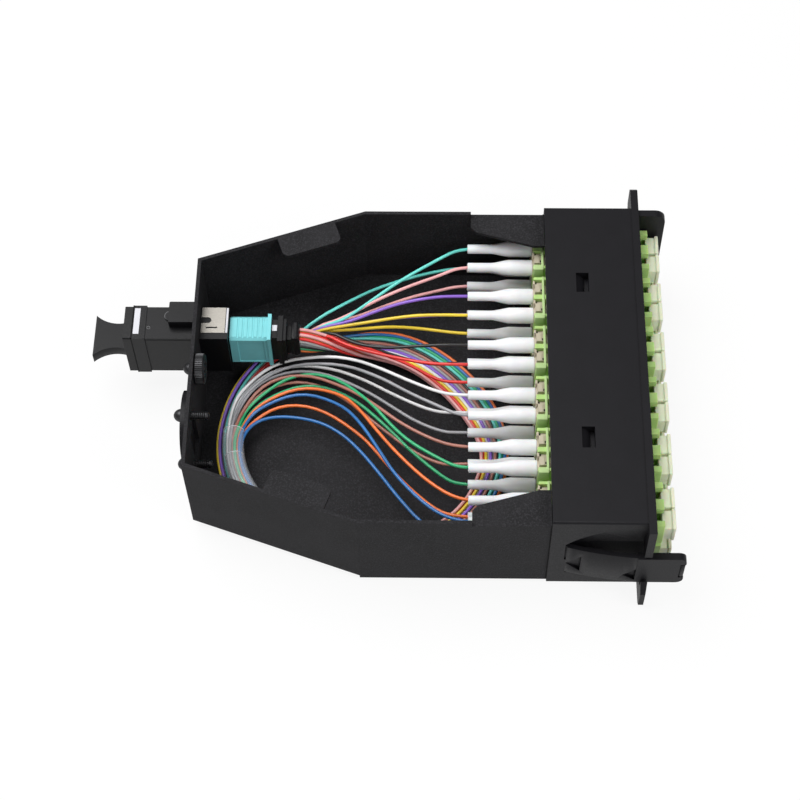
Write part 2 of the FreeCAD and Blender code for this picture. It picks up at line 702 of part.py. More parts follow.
def boot(column, side, row):
    """Strain relief: a many-sided taper between a thin rear and a thick front."""
    y = port_y(column, side)
    z = row_z(row)
    stations = [
        (BOOT_REAR_X, BOOT_REAR_RADIUS),
        (BOOT_REAR_X + BOOT_REAR_LENGTH, BOOT_REAR_RADIUS),
        (BOOT_REAR_X + BOOT_REAR_LENGTH + BOOT_FLARE_LENGTH, BOOT_FRONT_RADIUS),
        (ADAPTER_REAR, BOOT_FRONT_RADIUS),
    ]
    turns = [2 * math.pi * (i + 0.5) / BOOT_SIDES for i in range(BOOT_SIDES)]
    rings = []
    for x, radius in stations:
        rings.append([V(x, y + radius * math.cos(t), z + radius * math.sin(t)) for t in turns])
    return flat_sided(rings)


def dust_cap(column, side, row):
    y = port_y(column, side)
    z = row_z(row)
    rim = ADAPTER_FRONT + CAP_NECK
    insert = centred(ADAPTER_FRONT - CAP_INSERT, rim, y, CAP_SECTION, z, CAP_SECTION)
    key = block(
        ADAPTER_FRONT - KEYWAY_LENGTH + 0.5, rim, y - LATCH_WIDTH / 2, y + LATCH_WIDTH / 2,
        z, z + ADAPTER_HEIGHT / 2,
    )
    head = centred(rim, rim + CAP_RIM, y, CAP_RIM_WIDTH, z + 0.9, CAP_RIM_HEIGHT)
    return fused([insert, key, head])


# ---- multifibre adapter and connector -----------------------------------------------------------------------


def mpo_adapter():
    y = MPO_OFFSET
    body = centred(MPO_REAR_X, MPO_FRONT_X, y, MPO_WIDTH, MID_Z, MPO_HEIGHT)
    collar = centred(
        MPO_REAR_X, MPO_REAR_X + MPO_COLLAR_LENGTH, y, MPO_WIDTH + 2 * MPO_COLLAR, MID_Z, MPO_HEIGHT + 2 * MPO_COLLAR
    )
    top = MID_Z + MPO_HEIGHT / 2
    far = y + MPO_WIDTH / 2
    raised = block(REAR_X - MPO_BLOCK_LENGTH, REAR_X, far - MPO_BLOCK_WIDTH, far, top, top + MPO_BLOCK_RISE)
    raised = round_edges(raised, 0.4, V(0, 0, 1))
    nub = Part.makeCylinder(
        1.2, 0.8, V(REAR_X - MPO_BLOCK_LENGTH, far - MPO_BLOCK_WIDTH / 2, top)
    )
    channel = centred(
        MPO_REAR_X - 1, MPO_FRONT_X + 1, y, MPO_CHANNEL_WIDTH, MID_Z, MPO_CHANNEL_HEIGHT
    )
    clip_seat = block(
        REAR_X + SHEET + 0.3, REAR_X + SHEET + 0.3 + CLIP_LENGTH, far - CLIP_WIDTH, far + 1,
        top - CLIP_SHEET, top + 1,
    )
    return body.multiFuse([collar, raised, nub]).cut([channel, clip_seat]).removeSplitter()


def adapter_clip():
    """Spring clip let into the top of the adapter inside the tray."""
    far = MPO_OFFSET + MPO_WIDTH / 2
    top = MID_Z + MPO_HEIGHT / 2
    x0 = REAR_X + SHEET + 0.3
    plate = block(x0, x0 + CLIP_LENGTH, far - CLIP_WIDTH, far, top - CLIP_SHEET, top)
    middle = far - CLIP_WIDTH / 2
    slot = block(x0 + 1.4, x0 + 1.4 + 3.0, middle - 2.6, middle - 2.2, top - 1, top + 1)
    window = block(x0 - 1, x0 + 1.8, middle - 0.9, middle + 0.9, top - 1, top + 1)
    eye = Part.makeCylinder(0.9, 2, V(x0 + 1.8, middle, top - 1))
    return plate.cut([slot, window, eye])


def mpo_dust_cap():
    y = MPO_OFFSET
    face = MPO_REAR_X
    plate = centred(face - DUST_PLATE, face, y, MPO_WIDTH + 0.4, MID_Z, MPO_HEIGHT + 0.4)
    plate = round_edges(plate, 0.5, V(1, 0, 0))
    insert = centred(face, face + DUST_INSERT, y, MPO_CHANNEL_WIDTH - 0.2, MID_Z, MPO_CHANNEL_HEIGHT - 0.2)
    back = face - DUST_PLATE
    tip = back - DUST_GRIP_LENGTH
    neck = DUST_GRIP_NECK / 2
    flare = DUST_GRIP_FLARE / 2
    near_side = Part.Arc(V(back, y - neck, 0), V(back - 3.6, y - neck + 0.35, 0), V(tip, y - flare, 0)).toShape()
    far_side = Part.Arc(V(tip, y + flare, 0), V(back - 3.6, y + neck - 0.35, 0), V(back, y + neck, 0)).toShape()
    outline = [
        near_side,
        Part.makeLine(V(tip, y - flare, 0), V(tip, y + flare, 0)),
        far_side,
        Part.makeLine(V(back, y + neck, 0), V(back, y - neck, 0)),
    ]
    grip = Part.Face(Part.Wire(outline)).extrude(V(0, 0, DUST_GRIP_THICK))
    grip.translate(V(0, 0, MID_Z - DUST_GRIP_THICK / 2))
    return plate.multiFuse([insert, grip]).removeSplitter()


def connector_body():
    """Connector body: nose in the adapter, square housing through the sleeve, collar behind it."""
    y = MPO_OFFSET
    body = centred(MPO_FRONT_X - 5.0, COLLAR_X, y, CONNECTOR_WIDTH, MID_Z, CONNECTOR_HEIGHT)
    collar = centred(COLLAR_X, COLLAR_X + COLLAR_LENGTH, y, COLLAR_WIDTH, MID_Z, CONNECTOR_HEIGHT + 0.8)
    step = centred(COLLAR_X + COLLAR_LENGTH, STRAIN_X, y, COLLAR_WIDTH - 1.2, MID_Z, CONNECTOR_HEIGHT - 0.6)
    return fused([body, collar, step])


def connector_sleeve():
    """Sliding outer sleeve: grooved on top and below, with a recessed panel on each side."""
    y = MPO_OFFSET
    x0 = SLEEVE_X
    x1 = SLEEVE_X + SLEEVE_LENGTH
    half = SLEEVE_WIDTH / 2
    rise = SLEEVE_HEIGHT / 2
    corner = 0.8
    outline = [(half - corner, rise), (half, rise - corner)]
    outline += [(a, -b) for a, b in reversed(outline)]
    outline += [(-a, b) for a, b in reversed(outline)]
    outer = end_solid([(y + a, MID_Z + b) for a, b in outline], x0, x1)
    rims = [
        centred(x1 - 1.0, x1, y, SLEEVE_WIDTH + 2 * SLEEVE_RIB, MID_Z, SLEEVE_HEIGHT + 2 * SLEEVE_RIB),
    ]
    bore = centred(
        x0 - 1, x1 + 1, y, CONNECTOR_WIDTH + 2 * CONNECTOR_FIT, MID_Z, CONNECTOR_HEIGHT + 2 * CONNECTOR_FIT
    )
    cuts = [bore]
    for side in (-1, 1):
        wall = y + side * SLEEVE_WIDTH / 2
        cuts.append(centred(x0 + 2.2, x1 - 2.0, wall, 0.6, MID_Z, SLEEVE_HEIGHT - 2.4))
        level = MID_Z + side * SLEEVE_HEIGHT / 2
        for i in range(SLEEVE_GROOVES):
            x = x0 + 2.0 + i * (SLEEVE_LENGTH - 4.4) / (SLEEVE_GROOVES - 1)
            cuts.append(centred(x, x + 0.5, y, SLEEVE_WIDTH + 1, level, 0.4))
    return outer.multiFuse(rims).cut(cuts).removeSplitter()


def connector_boot():
    """Short strain relief behind the connector's collar."""
    y = MPO_OFFSET
    neck = centred(STRAIN_X, STRAIN_X + STRAIN_NECK, y, STRAIN_WIDTH - 1.0, MID_Z, STRAIN_HEIGHT - 1.0)
    body = centred(STRAIN_X + STRAIN_NECK, TRUNK_X, y, STRAIN_WIDTH, MID_Z, STRAIN_HEIGHT)
    body = round_edges(body, 1.0, V(1, 0, 0))
    return fused([neck, body])


# ---- blanking plate, screws and nuts ------------------------------------------------------------------------


def blank_plate():
    z = MID_Z + BLANK_RISE
    plate = centred(REAR_X - BLANK_THICK, REAR_X, BLANK_OFFSET, BLANK_WIDTH, z, BLANK_HEIGHT)
    plate = round_edges(plate, BLANK_CORNER, V(1, 0, 0))
    x0 = REAR_X - 2 * BLANK_THICK
    x1 = REAR_X + BLANK_THICK
    return plate.cut([rod(x0, x1, *place, SCREW_RADIUS + SCREW_FIT) for place in screw_places()[:2]])


def pan_screw(place, seat):
    """Pan-head screw, driven from outside; seat is the face under its head."""
    shank = rod(seat, REAR_X + SCREW_REACH, *place, SCREW_RADIUS)
    return shank.fuse(rod(seat - HEAD_RISE, seat, *place, HEAD_RADIUS))


def plate_screws():
    """The blanking plate's two screws, as separate solids."""
    return Part.makeCompound([pan_screw(place, REAR_X - BLANK_THICK) for place in screw_places()[:2]])


def adapter_nut():
    """Knurled nut inside the rear wall, on the screw beside the multifibre adapter."""
    y, z = screw_places()[2]
    turns = [2 * math.pi * i / NUT_FLATS for i in range(NUT_FLATS)]
    outline = [(y + NUT_RADIUS * math.cos(t), z + NUT_RADIUS * math.sin(t)) for t in turns]
    disc = end_solid(outline, REAR_X + SHEET, REAR_X + SHEET + NUT_THICK)
    return disc.cut(rod(REAR_X, REAR_X + SHEET + 2 * NUT_THICK, y, z, SCREW_RADIUS + SCREW_FIT))


# ---- fibres and clear tubes ---------------------------------------------------------------------------------


def route(points):
    """Path of straight runs joined by tangent arcs, the stations along it and the arcs' radii."""
    corners = [V(*point) for point in points]
    edges = []
    stations = [corners[0]]
    radii = []
    for before, corner, after in zip(corners, corners[1:], corners[2:]):
        back = before - corner
        ahead = after - corner
        reach = ARC_SHARE * min(back.Length, ahead.Length)
        back.normalize()
        ahead.normalize()
        half_turn = (math.pi - back.getAngle(ahead)) / 2
        radius = reach / math.tan(half_turn)
        inward = (back + ahead).normalize()
        apex = corner + inward * (radius / math.cos(half_turn) - radius)
        start = corner + back * reach
        end = corner + ahead * reach
        edges.append(Part.LineSegment(stations[-1], start).toShape())
        edges.append(Part.Arc(start, apex, end).toShape())
        chords = max(2, math.ceil(2 * half_turn / CHORD_TURN))
        stations += edges[-1].discretize(chords + 1)
        radii.append(radius)
    edges.append(Part.LineSegment(stations[-1], corners[-1]).toShape())
    stations.append(corners[-1])
    return Part.Wire(edges), stations, radii


def first_ring(start, ahead, sides, radius, seat):
    """Regular section across the start of a path, whose area is that of a circle of the radius. Its corners
    are slid along the path onto a plane through the start whose normal is seat."""
    across = ahead.cross(V(0, 0, 1)).normalize()
    up = across.cross(ahead)
    corner = radius * math.sqrt(2 * math.pi / sides / math.sin(2 * math.pi / sides))
    turns = [2 * math.pi * (i + 0.5) / sides for i in range(sides)]
    ring = [start + across * (corner * math.cos(t)) + up * (corner * math.sin(t)) for t in turns]
    return slid(ring, start, ahead, seat)


def slid(ring, place, along, normal):
    """Corners of a ring moved along a direction onto the plane through a place."""
    return [corner + along * ((place - corner).dot(normal) / along.dot(normal)) for corner in ring]


def strand(name, points, sides, radius, seat=None, fan=None):
    """Flat-sided solid along a route; prints its radii and its volume's ratio to section times length."""
    path, stations, radii = route(points)
    solid = swept(stations, sides, radius, seat, fan)
    ratio = solid.Volume / (math.pi * radius ** 2 * path.Length)
    print("%s: radii %s, volume ratio %.3f" % (name, " ".join("%.0f" % r for r in radii), ratio))
    return solid


def swept(stations, sides, radius, seat=None, fan=None):
    """Flat-sided solid mitred at each station. A seat is the normal of the plane it starts on, and a fan the
    direction across which it opens at its end."""
    runs = [(b - a).normalize() for a, b in zip(stations, stations[1:])]
    rings = [first_ring(stations[0], runs[0], sides, radius, seat or runs[0])]
    for i, run in enumerate(runs):
        following = runs[min(i + 1, len(runs) - 1)]
        rings.append(slid(rings[-1], stations[i + 1], run, (run + following).normalize()))
    if fan:
        rings[-1] = fan_ring(stations[-1], fan, runs[-1], sides)
    return flat_sided(rings)


def fan_ring(place, across, ahead, sides):
    """Flat section at the end of a branch, as wide and high as the two layers of tails that start there."""
    half_width = (COLUMNS - 1) / 2 * FAN_PITCH + FIBRE_DIAMETER / 2 + FAN_MARGIN
    half_height = FAN_RISE / 2 + FIBRE_DIAMETER / 2 + FAN_MARGIN
    if across.cross(V(0, 0, 1)).dot(ahead) > 0:
        across = across * -1
    first = math.pi / sides
    turns = [first + 2 * math.pi * i / sides for i in range(sides)]
    wide = half_width / math.cos(first)
    high = half_height / math.sin(first)
    return [place + across * (wide * math.cos(t)) + V(0, 0, high * math.sin(t)) for t in turns]


def between(stations, start, stop):
    """Part of a line of stations between two distances along it."""
    line = []
    travelled = 0.0
    for a, b in zip(stations, stations[1:]):
        run = (b - a).Length
        if travelled <= start < travelled + run:
            line.append(a + (b - a) * ((start - travelled) / run))
        if start < travelled + run < stop:
            line.append(b)
        if travelled < stop <= travelled + run:
            line.append(a + (b - a) * ((stop - travelled) / run))
        travelled += run
    return line


def clear_tube(length, radius):
    """Thin-walled clear tube over the near branch."""
    stations = between(route(NEAR_BRANCH)[1], TUBE_START, TUBE_START + length)
    before = (stations[0] - stations[1]).normalize()
    after = (stations[-1] - stations[-2]).normalize()
    bore = [stations[0] + before] + stations[1:-1] + [stations[-1] + after]
    return swept(stations, TUBE_SIDES, radius).cut(swept(bore, TUBE_SIDES, radius - TUBE_WALL))


def tails(port):
    """The lower and upper fibre of one colour; ports are counted from the near side."""
    near = port < COLUMNS
    place = port if near else port - COLUMNS
    y = port_y(port // 2, 2 * (port % 2) - 1)
    branch = NEAR_BRANCH[-1] if near else FAR_BRANCH[-1]
    seat = V(0, 1, 0) if near else V(1, 0, 0)
    across = (place - (COLUMNS - 1) / 2) * FAN_PITCH
    solids = []
    for row, shapes in enumerate(((NEAR_LOWER, FAR_LOWER), (NEAR_UPPER, FAR_UPPER))):
        layer = branch[2] + (row - 0.5) * FAN_RISE
        start = (branch[0] - across, branch[1], layer) if near else (branch[0], branch[1] + across, layer)
        end = (BOOT_REAR_X, y, row_z(row))
        lead = (BOOT_REAR_X - TAIL_LEAD, y, row_z(row))
        points = [start] + shapes[0 if near else 1][place] + [lead, end]
        name = "%s %s" % (COLOURS[port], ("lower", "upper")[row])
        solids.append(strand(name, points, FIBRE_SIDES, FIBRE_DIAMETER / 2, seat))
    return Part.makeCompound(solids)


def main():
    os.makedirs("parts", exist_ok=True)
    save("tray", tray())
    save("front_housing", front_housing())
    save("latch_lever", latch_lever())
    for row in (0, 1):
        name = ("lower", "upper")[row]
        plugs = []
        boots = []
        for column in range(COLUMNS):
            save("adapter_%s_%d" % (name, column + 1), duplex_adapter(column, row))
            caps = [dust_cap(column, side, row) for side in (-1, 1)]
            save("dust_caps_%s_%d" % (name, column + 1), Part.makeCompound(caps))
            plugs += [plug(column, side, row) for side in (-1, 1)]
            boots += [boot(column, side, row) for side in (-1, 1)]
        save("plugs_%s" % name, Part.makeCompound(plugs))
        save("boots_%s" % name, Part.makeCompound(boots))
    save("mpo_adapter", mpo_adapter())
    save("adapter_clip", adapter_clip())
    save("mpo_dust_cap", mpo_dust_cap())
    save("connector_body", connector_body())
    save("connector_sleeve", connector_sleeve())
    save("connector_boot", connector_boot())
    save("blank_plate", blank_plate())
    save("plate_screws", plate_screws())
    save("adapter_screw", pan_screw(screw_places()[2], REAR_X))
    save("adapter_nut", adapter_nut())
    save("fibre_trunk", strand("trunk", TRUNK, BUNDLE_SIDES, TRUNK_RADIUS, V(1, 0, 0)))
    seat = (V(*TRUNK[-1]) - V(*TRUNK[-2])).normalize()
    save("near_branch", strand("near branch", NEAR_BRANCH, BUNDLE_SIDES, BRANCH_RADIUS, seat, V(1, 0, 0)))
    save("far_branch", strand("far branch", FAR_BRANCH, BUNDLE_SIDES, BRANCH_RADIUS, seat, V(0, 1, 0)))
    save("outer_clear_tube", clear_tube(OUTER_TUBE_LENGTH, TUBE_RADIUS))
    save("inner_clear_tube", clear_tube(INNER_TUBE_LENGTH, TUBE_RADIUS - TUBE_WALL - TUBE_FIT))
    for port, colour in enumerate(COLOURS):
        save("%s_fibres" % colour, tails(port))


main()
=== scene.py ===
"""Fibre cassette: finishes for its solids, and the fibres, boots, screws and marks that go with them."""

import contextlib
import math

import bmesh
import bpy
from mathutils import Matrix, Vector


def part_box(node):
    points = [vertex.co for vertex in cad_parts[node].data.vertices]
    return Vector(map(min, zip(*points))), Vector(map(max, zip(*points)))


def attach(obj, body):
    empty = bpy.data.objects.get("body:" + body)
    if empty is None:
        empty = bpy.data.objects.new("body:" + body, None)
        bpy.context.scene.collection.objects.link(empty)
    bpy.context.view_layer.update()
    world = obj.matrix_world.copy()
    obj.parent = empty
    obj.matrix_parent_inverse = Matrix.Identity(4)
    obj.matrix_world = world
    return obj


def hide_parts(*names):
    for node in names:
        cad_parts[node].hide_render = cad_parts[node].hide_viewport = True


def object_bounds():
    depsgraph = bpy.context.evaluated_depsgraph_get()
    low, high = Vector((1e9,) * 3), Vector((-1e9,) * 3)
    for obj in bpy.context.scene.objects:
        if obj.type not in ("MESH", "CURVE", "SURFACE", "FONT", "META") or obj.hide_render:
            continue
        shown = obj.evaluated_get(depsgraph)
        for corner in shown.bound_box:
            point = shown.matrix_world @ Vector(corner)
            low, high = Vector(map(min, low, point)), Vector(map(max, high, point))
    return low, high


bl_info = {
    "name": "Fibre cassette",
    "version": (1, 0, 0),
    "blender": (4, 5, 0),
    "location": "View3D > Sidebar > Cassette",
    "description": "Dresses the fibre cassette's solids and adds its fine pieces",
    "category": "Object",
}

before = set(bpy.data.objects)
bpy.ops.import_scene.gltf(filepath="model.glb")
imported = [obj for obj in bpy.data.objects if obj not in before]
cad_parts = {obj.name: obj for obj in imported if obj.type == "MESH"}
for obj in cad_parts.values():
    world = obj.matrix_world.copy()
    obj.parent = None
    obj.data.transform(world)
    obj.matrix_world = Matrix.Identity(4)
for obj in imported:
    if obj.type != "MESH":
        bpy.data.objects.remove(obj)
CAD_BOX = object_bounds()
MM = 0.001
BODY = "cassette"
ROWS = ("lower", "upper")
COLUMNS = 6
# gap that is welded before a solid's edges are softened, and the angle from which an edge is softened
WELD_GAP = 0.002 * MM
EDGE_ANGLE = math.radians(32.0)
# radius of a domed screw's head
SCREW_HEAD = 1.8 * MM

# ---- places read from the solids ----

BOOT_BOXES = [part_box("boots_%s" % row) for row in ROWS]
BOOT_REAR = BOOT_BOXES[0][0].x
BOOT_FRONT = BOOT_BOXES[0][1].x
HOUSING_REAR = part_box("front_housing")[0].x
ADAPTERS = [[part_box("adapter_%s_%d" % (row, i + 1)) for i in range(COLUMNS)] for row in ROWS]
ADAPTER_REAR = ADAPTERS[0][0][0].x
ADAPTER_FRONT = ADAPTERS[0][0][1].x
ROW_Z = [(boxes[0][0].z + boxes[0][1].z) / 2 for boxes in ADAPTERS]
PORT_HALF_PITCH = 3.125 * MM
PORT_Y = []
for low, high in ADAPTERS[0]:
    PORT_Y += [(low.y + high.y) / 2 - PORT_HALF_PITCH, (low.y + high.y) / 2 + PORT_HALF_PITCH]
# from the first port to each port of a row
PORT_SHIFTS = [Vector((0.0, y - PORT_Y[0], 0.0)) for y in PORT_Y]

# ---- the fibres' routes, with their points in millimetres, and how the fibres lie on them ----

COLOURS = [
    "blue", "orange", "green", "brown", "slate", "white", "red", "black", "yellow", "violet", "rose",
    "aqua",
]
TRUNK = [
    (-91.1, 15.8, 0.2), (-86.3, 15.9, -1.8), (-79, 18.3, -7), (-70, 21, -10.2), (-58.5, 18.8, -11),
    (-44.6, 6.5, -11.2), (-36.4, -9.5, -11.2), (-38.2, -23.5, -11.2), (-46.5, -37, -11.2),
    (-61, -43, -11.2), (-77, -42, -11.2), (-88, -38.6, -11.2),
]
NEAR_BRANCH = [
    (-87.57, -37.2, -9.2), (-97, -35.2, -7.8), (-105, -26.9, -7.2), (-109.1, -15.3, -7.2),
    (-108.6, -6.8, -7.4),
]
FAR_BRANCH = [
    (-88.43, -40, -12.1), (-97, -36.8, -12.1), (-107.6, -29.2, -12.1), (-112.6, -14, -12.1),
    (-111, 0, -11.4), (-106, 11.5, -11), (-96.2, 21.6, -10.8), (-88.6, 21.6, -1.8),
]
# from the outer side of the loop to the inner one
TRUNK_ORDER = [
    "orange", "blue", "green", "aqua", "black", "brown", "slate", "violet", "white", "yellow", "red",
    "rose",
]
NEAR_ORDER = ["white", "slate", "brown", "green", "orange", "blue"]
FAR_ORDER = ["yellow", "violet", "black", "aqua", "rose", "red"]
# shares of the trunk's length between which it spreads flat, is gathered again, and turns at each end
SPREAD_FLAT = (0.08, 0.24)
GATHER = (0.38, 0.56)
FIRST_TURN = (0.0, 0.16)
LAST_TURN = (0.68, 1.0)
START_ROLL = -0.5 * math.pi
END_ROLL = 0.75 * math.pi
# a branch's spacings as shares of the tight pitch and of the layer
BRANCH_SPREAD = 1.1
BRANCH_LAYER = 0.78
# outside radius of each clear tube and the y of its open mouth, the y where both start, and their wall
CLEAR_TUBES = {"outer": (2.9 * MM, -8.7 * MM), "inner": (2.5 * MM, -16.6 * MM)}
CLEAR_TUBE_START = -31.6 * MM
CLEAR_TUBE_WALL = 0.25 * MM
# rise of the lower and upper row's boots, and how much further their rear ends lean up
BOOT_LIFT = (1.2 * MM, 0.0)
BOOT_LEAN = (0.6 * MM, 0.0)
# points of each colour's lower and upper fibre between its branch and its boot
TAILS = {
    "blue": (
        [(-104.3, -6, -8.6), (-97.5, -3.3, -8.5), (-86.5, -5, -8), (-79.5, -9.2, -7.5), (-74, -15, -7),
         (-68.5, -22.5, -6.5), (-63, -30.5, -6), (-56, -39, -5.6)],
        [(-106, -6, -8.8), (-102.5, -1, -8.5), (-91, 3.3, -6.5), (-79.5, -3, -2.5), (-74, -10, 0),
         (-68.5, -20, 2), (-64, -28.5, 3.5), (-55, -39, 5)],
    ),
    "orange": (
        [(-105, -6, -8.9), (-96.5, 0.3, -8.5), (-85.5, -1, -8), (-74, -10, -7), (-68.5, -17, -6.5),
         (-63, -24.5, -6), (-53.5, -34, -5.5)],
        [(-106, -5, -8.9), (-102, 0.5, -8.5), (-91, 5, -6.5), (-79.5, 0.3, -2.5), (-74, -6.3, 0),
         (-68.5, -15, 2), (-63, -22.5, 3.5), (-55.5, -31, 5)],
    ),
    "green": (
        [(-106, -4, -9), (-100.5, 2.5, -9), (-89, 7, -8), (-77, 2.3, -7), (-66, -9, -6),
         (-60.5, -15.5, -6), (-51.5, -24, -5.5)],
        [(-107.3, -5, -9), (-104.5, 1, -9), (-94, 9, -7), (-82.5, 7, -3.5), (-71.5, -4, 1),
         (-66, -12, 2.5), (-60.5, -18.5, 4), (-52, -24.6, 5.4)],
    ),
    "brown": (
        [(-107.5, -4, -9), (-102, 5, -9), (-91, 8.3, -8.3), (-80, 3, -7.5), (-70, -7, -6.5),
         (-59, -16.5, -6), (-51.5, -20.2, -5.5)],
        [(-108, -4, -8.5), (-101.5, 7, -8), (-90, 9, -6), (-77, 1, -1.5), (-70, -5.5, 1.5),
         (-63, -12.5, 3.5), (-54, -18.6, 5.2)],
    ),
    "slate": (
        [(-108.7, -3, -9), (-104, 6.5, -8.9), (-95, 11, -8.5), (-85, 10.5, -8), (-73, 4, -7),
         (-66, -1.5, -6), (-59, -6.5, -6), (-51.5, -10, -5.5)],
        [(-109, -3, -8.5), (-105.7, 5, -8.6), (-95.5, 12.5, -7.5), (-80, 10, -2.5), (-69, 3, 2),
         (-60.5, -3.5, 4), (-52, -8.6, 5.4)],
    ),
    "white": (
        [(-109.5, -2, -9.4), (-106, 6.5, -9.4), (-96, 13, -8.6), (-84, 12, -7.8), (-74, 7.8, -7),
         (-64, 1.5, -6.3), (-54, -3.6, -5.7)],
        [(-110, -2, -8.5), (-107.7, 4.5, -8.4), (-98.5, 13.6, -7.6), (-84, 13.3, -4), (-76, 10.3, -1),
         (-69, 5.8, 2), (-60.5, 0.3, 4), (-52.5, -4, 5.4)],
    ),
    "red": (
        [(-84, 18.4, -0.4), (-76, 15.8, -1.6), (-68, 13.5, -3.5), (-61, 11, -4.5), (-53, 6.3, -5.5)],
        [(-85, 18, 1), (-79, 14, 0.8), (-71.5, 11, 1.8), (-63.5, 7.8, 3.6), (-55, 5.2, 5.2)],
    ),
    "black": (
        [(-84, 18.5, -0.4), (-75, 16.8, -2.7), (-65, 13.5, -4.3), (-55, 11.3, -5.4)],
        [(-84, 19, 1), (-76.5, 14, 1.3), (-68, 11.5, 2.9), (-60, 11.2, 4.5), (-52, 11.1, 5.5)],
    ),
    "yellow": (
        [(-85, 19.8, -1.5), (-77, 20.8, -2.3), (-66, 23.2, -4), (-56, 23, -5.2)],
        [(-86, 19.6, -0.5), (-74.5, 20.8, 1), (-61, 21.2, 4.5), (-52, 20.9, 5.4)],
    ),
    "violet": (
        [(-86, 21.2, -1.8), (-77, 22.5, -2.4), (-66, 26.1, -4.2), (-54, 27.6, -5.2)],
        [(-86, 20.4, -0.6), (-78, 21.8, 0), (-70, 24.5, 1.8), (-63, 26.1, 3.6), (-54, 26.9, 5.3)],
    ),
    "rose": (
        [(-86, 22.6, -1.8), (-77, 24.4, -2.2), (-69.5, 28.6, -3), (-61, 33.3, -4.5), (-52.5, 36.3, -5.4)],
        [(-87, 20.8, -0.8), (-80.5, 22.8, -0.4), (-69.5, 28.4, 2), (-61, 31.4, 4), (-52.5, 34.1, 5.3)],
    ),
    "aqua": (
        [(-87.5, 23.6, -1.6), (-78, 30.2, -2), (-69.5, 35.8, -3), (-57, 41.7, -5)],
        [(-86.5, 20.8, -0.9), (-80, 22.2, 0), (-75, 25.5, 1), (-64, 33.4, 3.5), (-53, 39.6, 5.3)],
    ),
}


# ---- properties ----


def colour_property(name, description, default):
    return bpy.props.FloatVectorProperty(
        name=name, description=description, default=default, subtype="COLOR", size=3, min=0.0, max=1.0
    )


def length_property(name, description, default):
    return bpy.props.FloatProperty(name=name, description=description, default=default, subtype="DISTANCE")


def power_property(name, description, default):
    return bpy.props.FloatProperty(name=name, description=description, default=default, unit="POWER")


class CassetteFibreSizes(bpy.types.PropertyGroup):
    """Sizes of the fibres and of how they lie together."""

    diameter: length_property("Fibre diameter", "Outside diameter of one fibre", 0.9 * MM)
    tight_pitch: length_property("Tight pitch", "Spacing of colours where the bundle is tight", 0.62 * MM)
    loose_pitch: length_property("Loose pitch", "Spacing of colours where the bundle is flat", 0.86 * MM)
    layer: length_property("Layer", "Spacing of the bundle's layers", 0.9 * MM)


class CassetteColours(bpy.types.PropertyGroup):
    """Base colours of the mouldings and of the fibres."""

    paint: colour_property("Tray paint", "Powder coat of the tray", (0.0175, 0.0170, 0.0190))
    housing: colour_property("Housing", "Plastic of the housing and lever", (0.0075, 0.0072, 0.0090))
    black: colour_property("Black mouldings", "Multifibre parts and the cap", (0.0065, 0.0065, 0.0075))
    sleeve: colour_property("Sleeve", "Outer sleeve of the multifibre connector", (0.20, 0.60, 0.64))
    lime: colour_property("Adapters", "Duplex adapters", (0.50, 0.74, 0.25))
    # paler copy of the adapters' lime: painted highlight on their lit rear edges
    rim: colour_property("Adapter rims", "Paler rear rims of the duplex adapters", (0.50, 0.68, 0.30))
    cap: colour_property("Caps", "Dust caps of the duplex adapters", (0.84, 0.86, 0.66))
    boot: colour_property("Boots", "Strain relief boots", (0.83, 0.83, 0.85))
    plug: colour_property("Plugs", "Bodies of the plugs", (0.56, 0.50, 0.38))
    nickel: colour_property("Clip", "Plated spring clip", (0.27, 0.255, 0.23))
    plating: colour_property("Screws", "Black plating of the screws and the nut", (0.06, 0.06, 0.063))
    ink: colour_property("White marks", "Index marks of the multifibre parts", (0.62, 0.62, 0.66))
    blue: colour_property("Blue", "Blue fibres", (0.026, 0.165, 0.46))
    orange: colour_property("Orange", "Orange fibres", (0.86, 0.18, 0.035))
    green: colour_property("Green", "Green fibres", (0.027, 0.42, 0.17))
    brown: colour_property("Brown", "Brown fibres", (0.42, 0.17, 0.13))
    slate: colour_property("Slate", "Slate fibres", (0.34, 0.34, 0.36))
    white: colour_property("White", "White fibres", (0.82, 0.82, 0.83))
    red: colour_property("Red", "Red fibres", (0.78, 0.035, 0.030))
    soot: colour_property("Black", "Black fibres", (0.012, 0.012, 0.013))
    yellow: colour_property("Yellow", "Yellow fibres", (0.83, 0.60, 0.035))
    violet: colour_property("Violet", "Violet fibres", (0.26, 0.12, 0.62))
    rose: colour_property("Rose", "Rose fibres", (0.86, 0.42, 0.42))
    aqua: colour_property("Aqua", "Aqua fibres", (0.13, 0.68, 0.60))


class CassetteStage(bpy.types.PropertyGroup):
    """Camera and light."""

    lens: bpy.props.FloatProperty(
        name="Lens", description="Focal length on a 36 mm sensor", default=86.11, unit="CAMERA"
    )
    key_power: power_property("Key light", "Power of the large lamp overhead", 5.2)
    front_power: power_property("Front light", "Power of the lamp before the near side", 0.7)
    side_power: power_property("Side light", "Power of the lamp beyond the flange", 1.3)
    fill: bpy.props.FloatProperty(name="Fill", description="Strength of the sky's light", default=0.22)


# ---- materials ----


class Tap:
    """A shader socket in a sum: each operation on it adds a Math node."""

    def __init__(self, shading, socket):
        self.shading = shading
        self.socket = socket

    def math(self, operation, *terms):
        return self.shading.node("ShaderNodeMath", dict(enumerate(terms)), operation=operation)

    def __add__(self, other):
        return self.math("ADD", self, other)

    def __mul__(self, other):
        return self.math("MULTIPLY", self, other)

    __radd__ = __add__
    __rmul__ = __mul__

    def or_else(self, other):
        """The higher of two values."""
        return self.math("MAXIMUM", self, other)


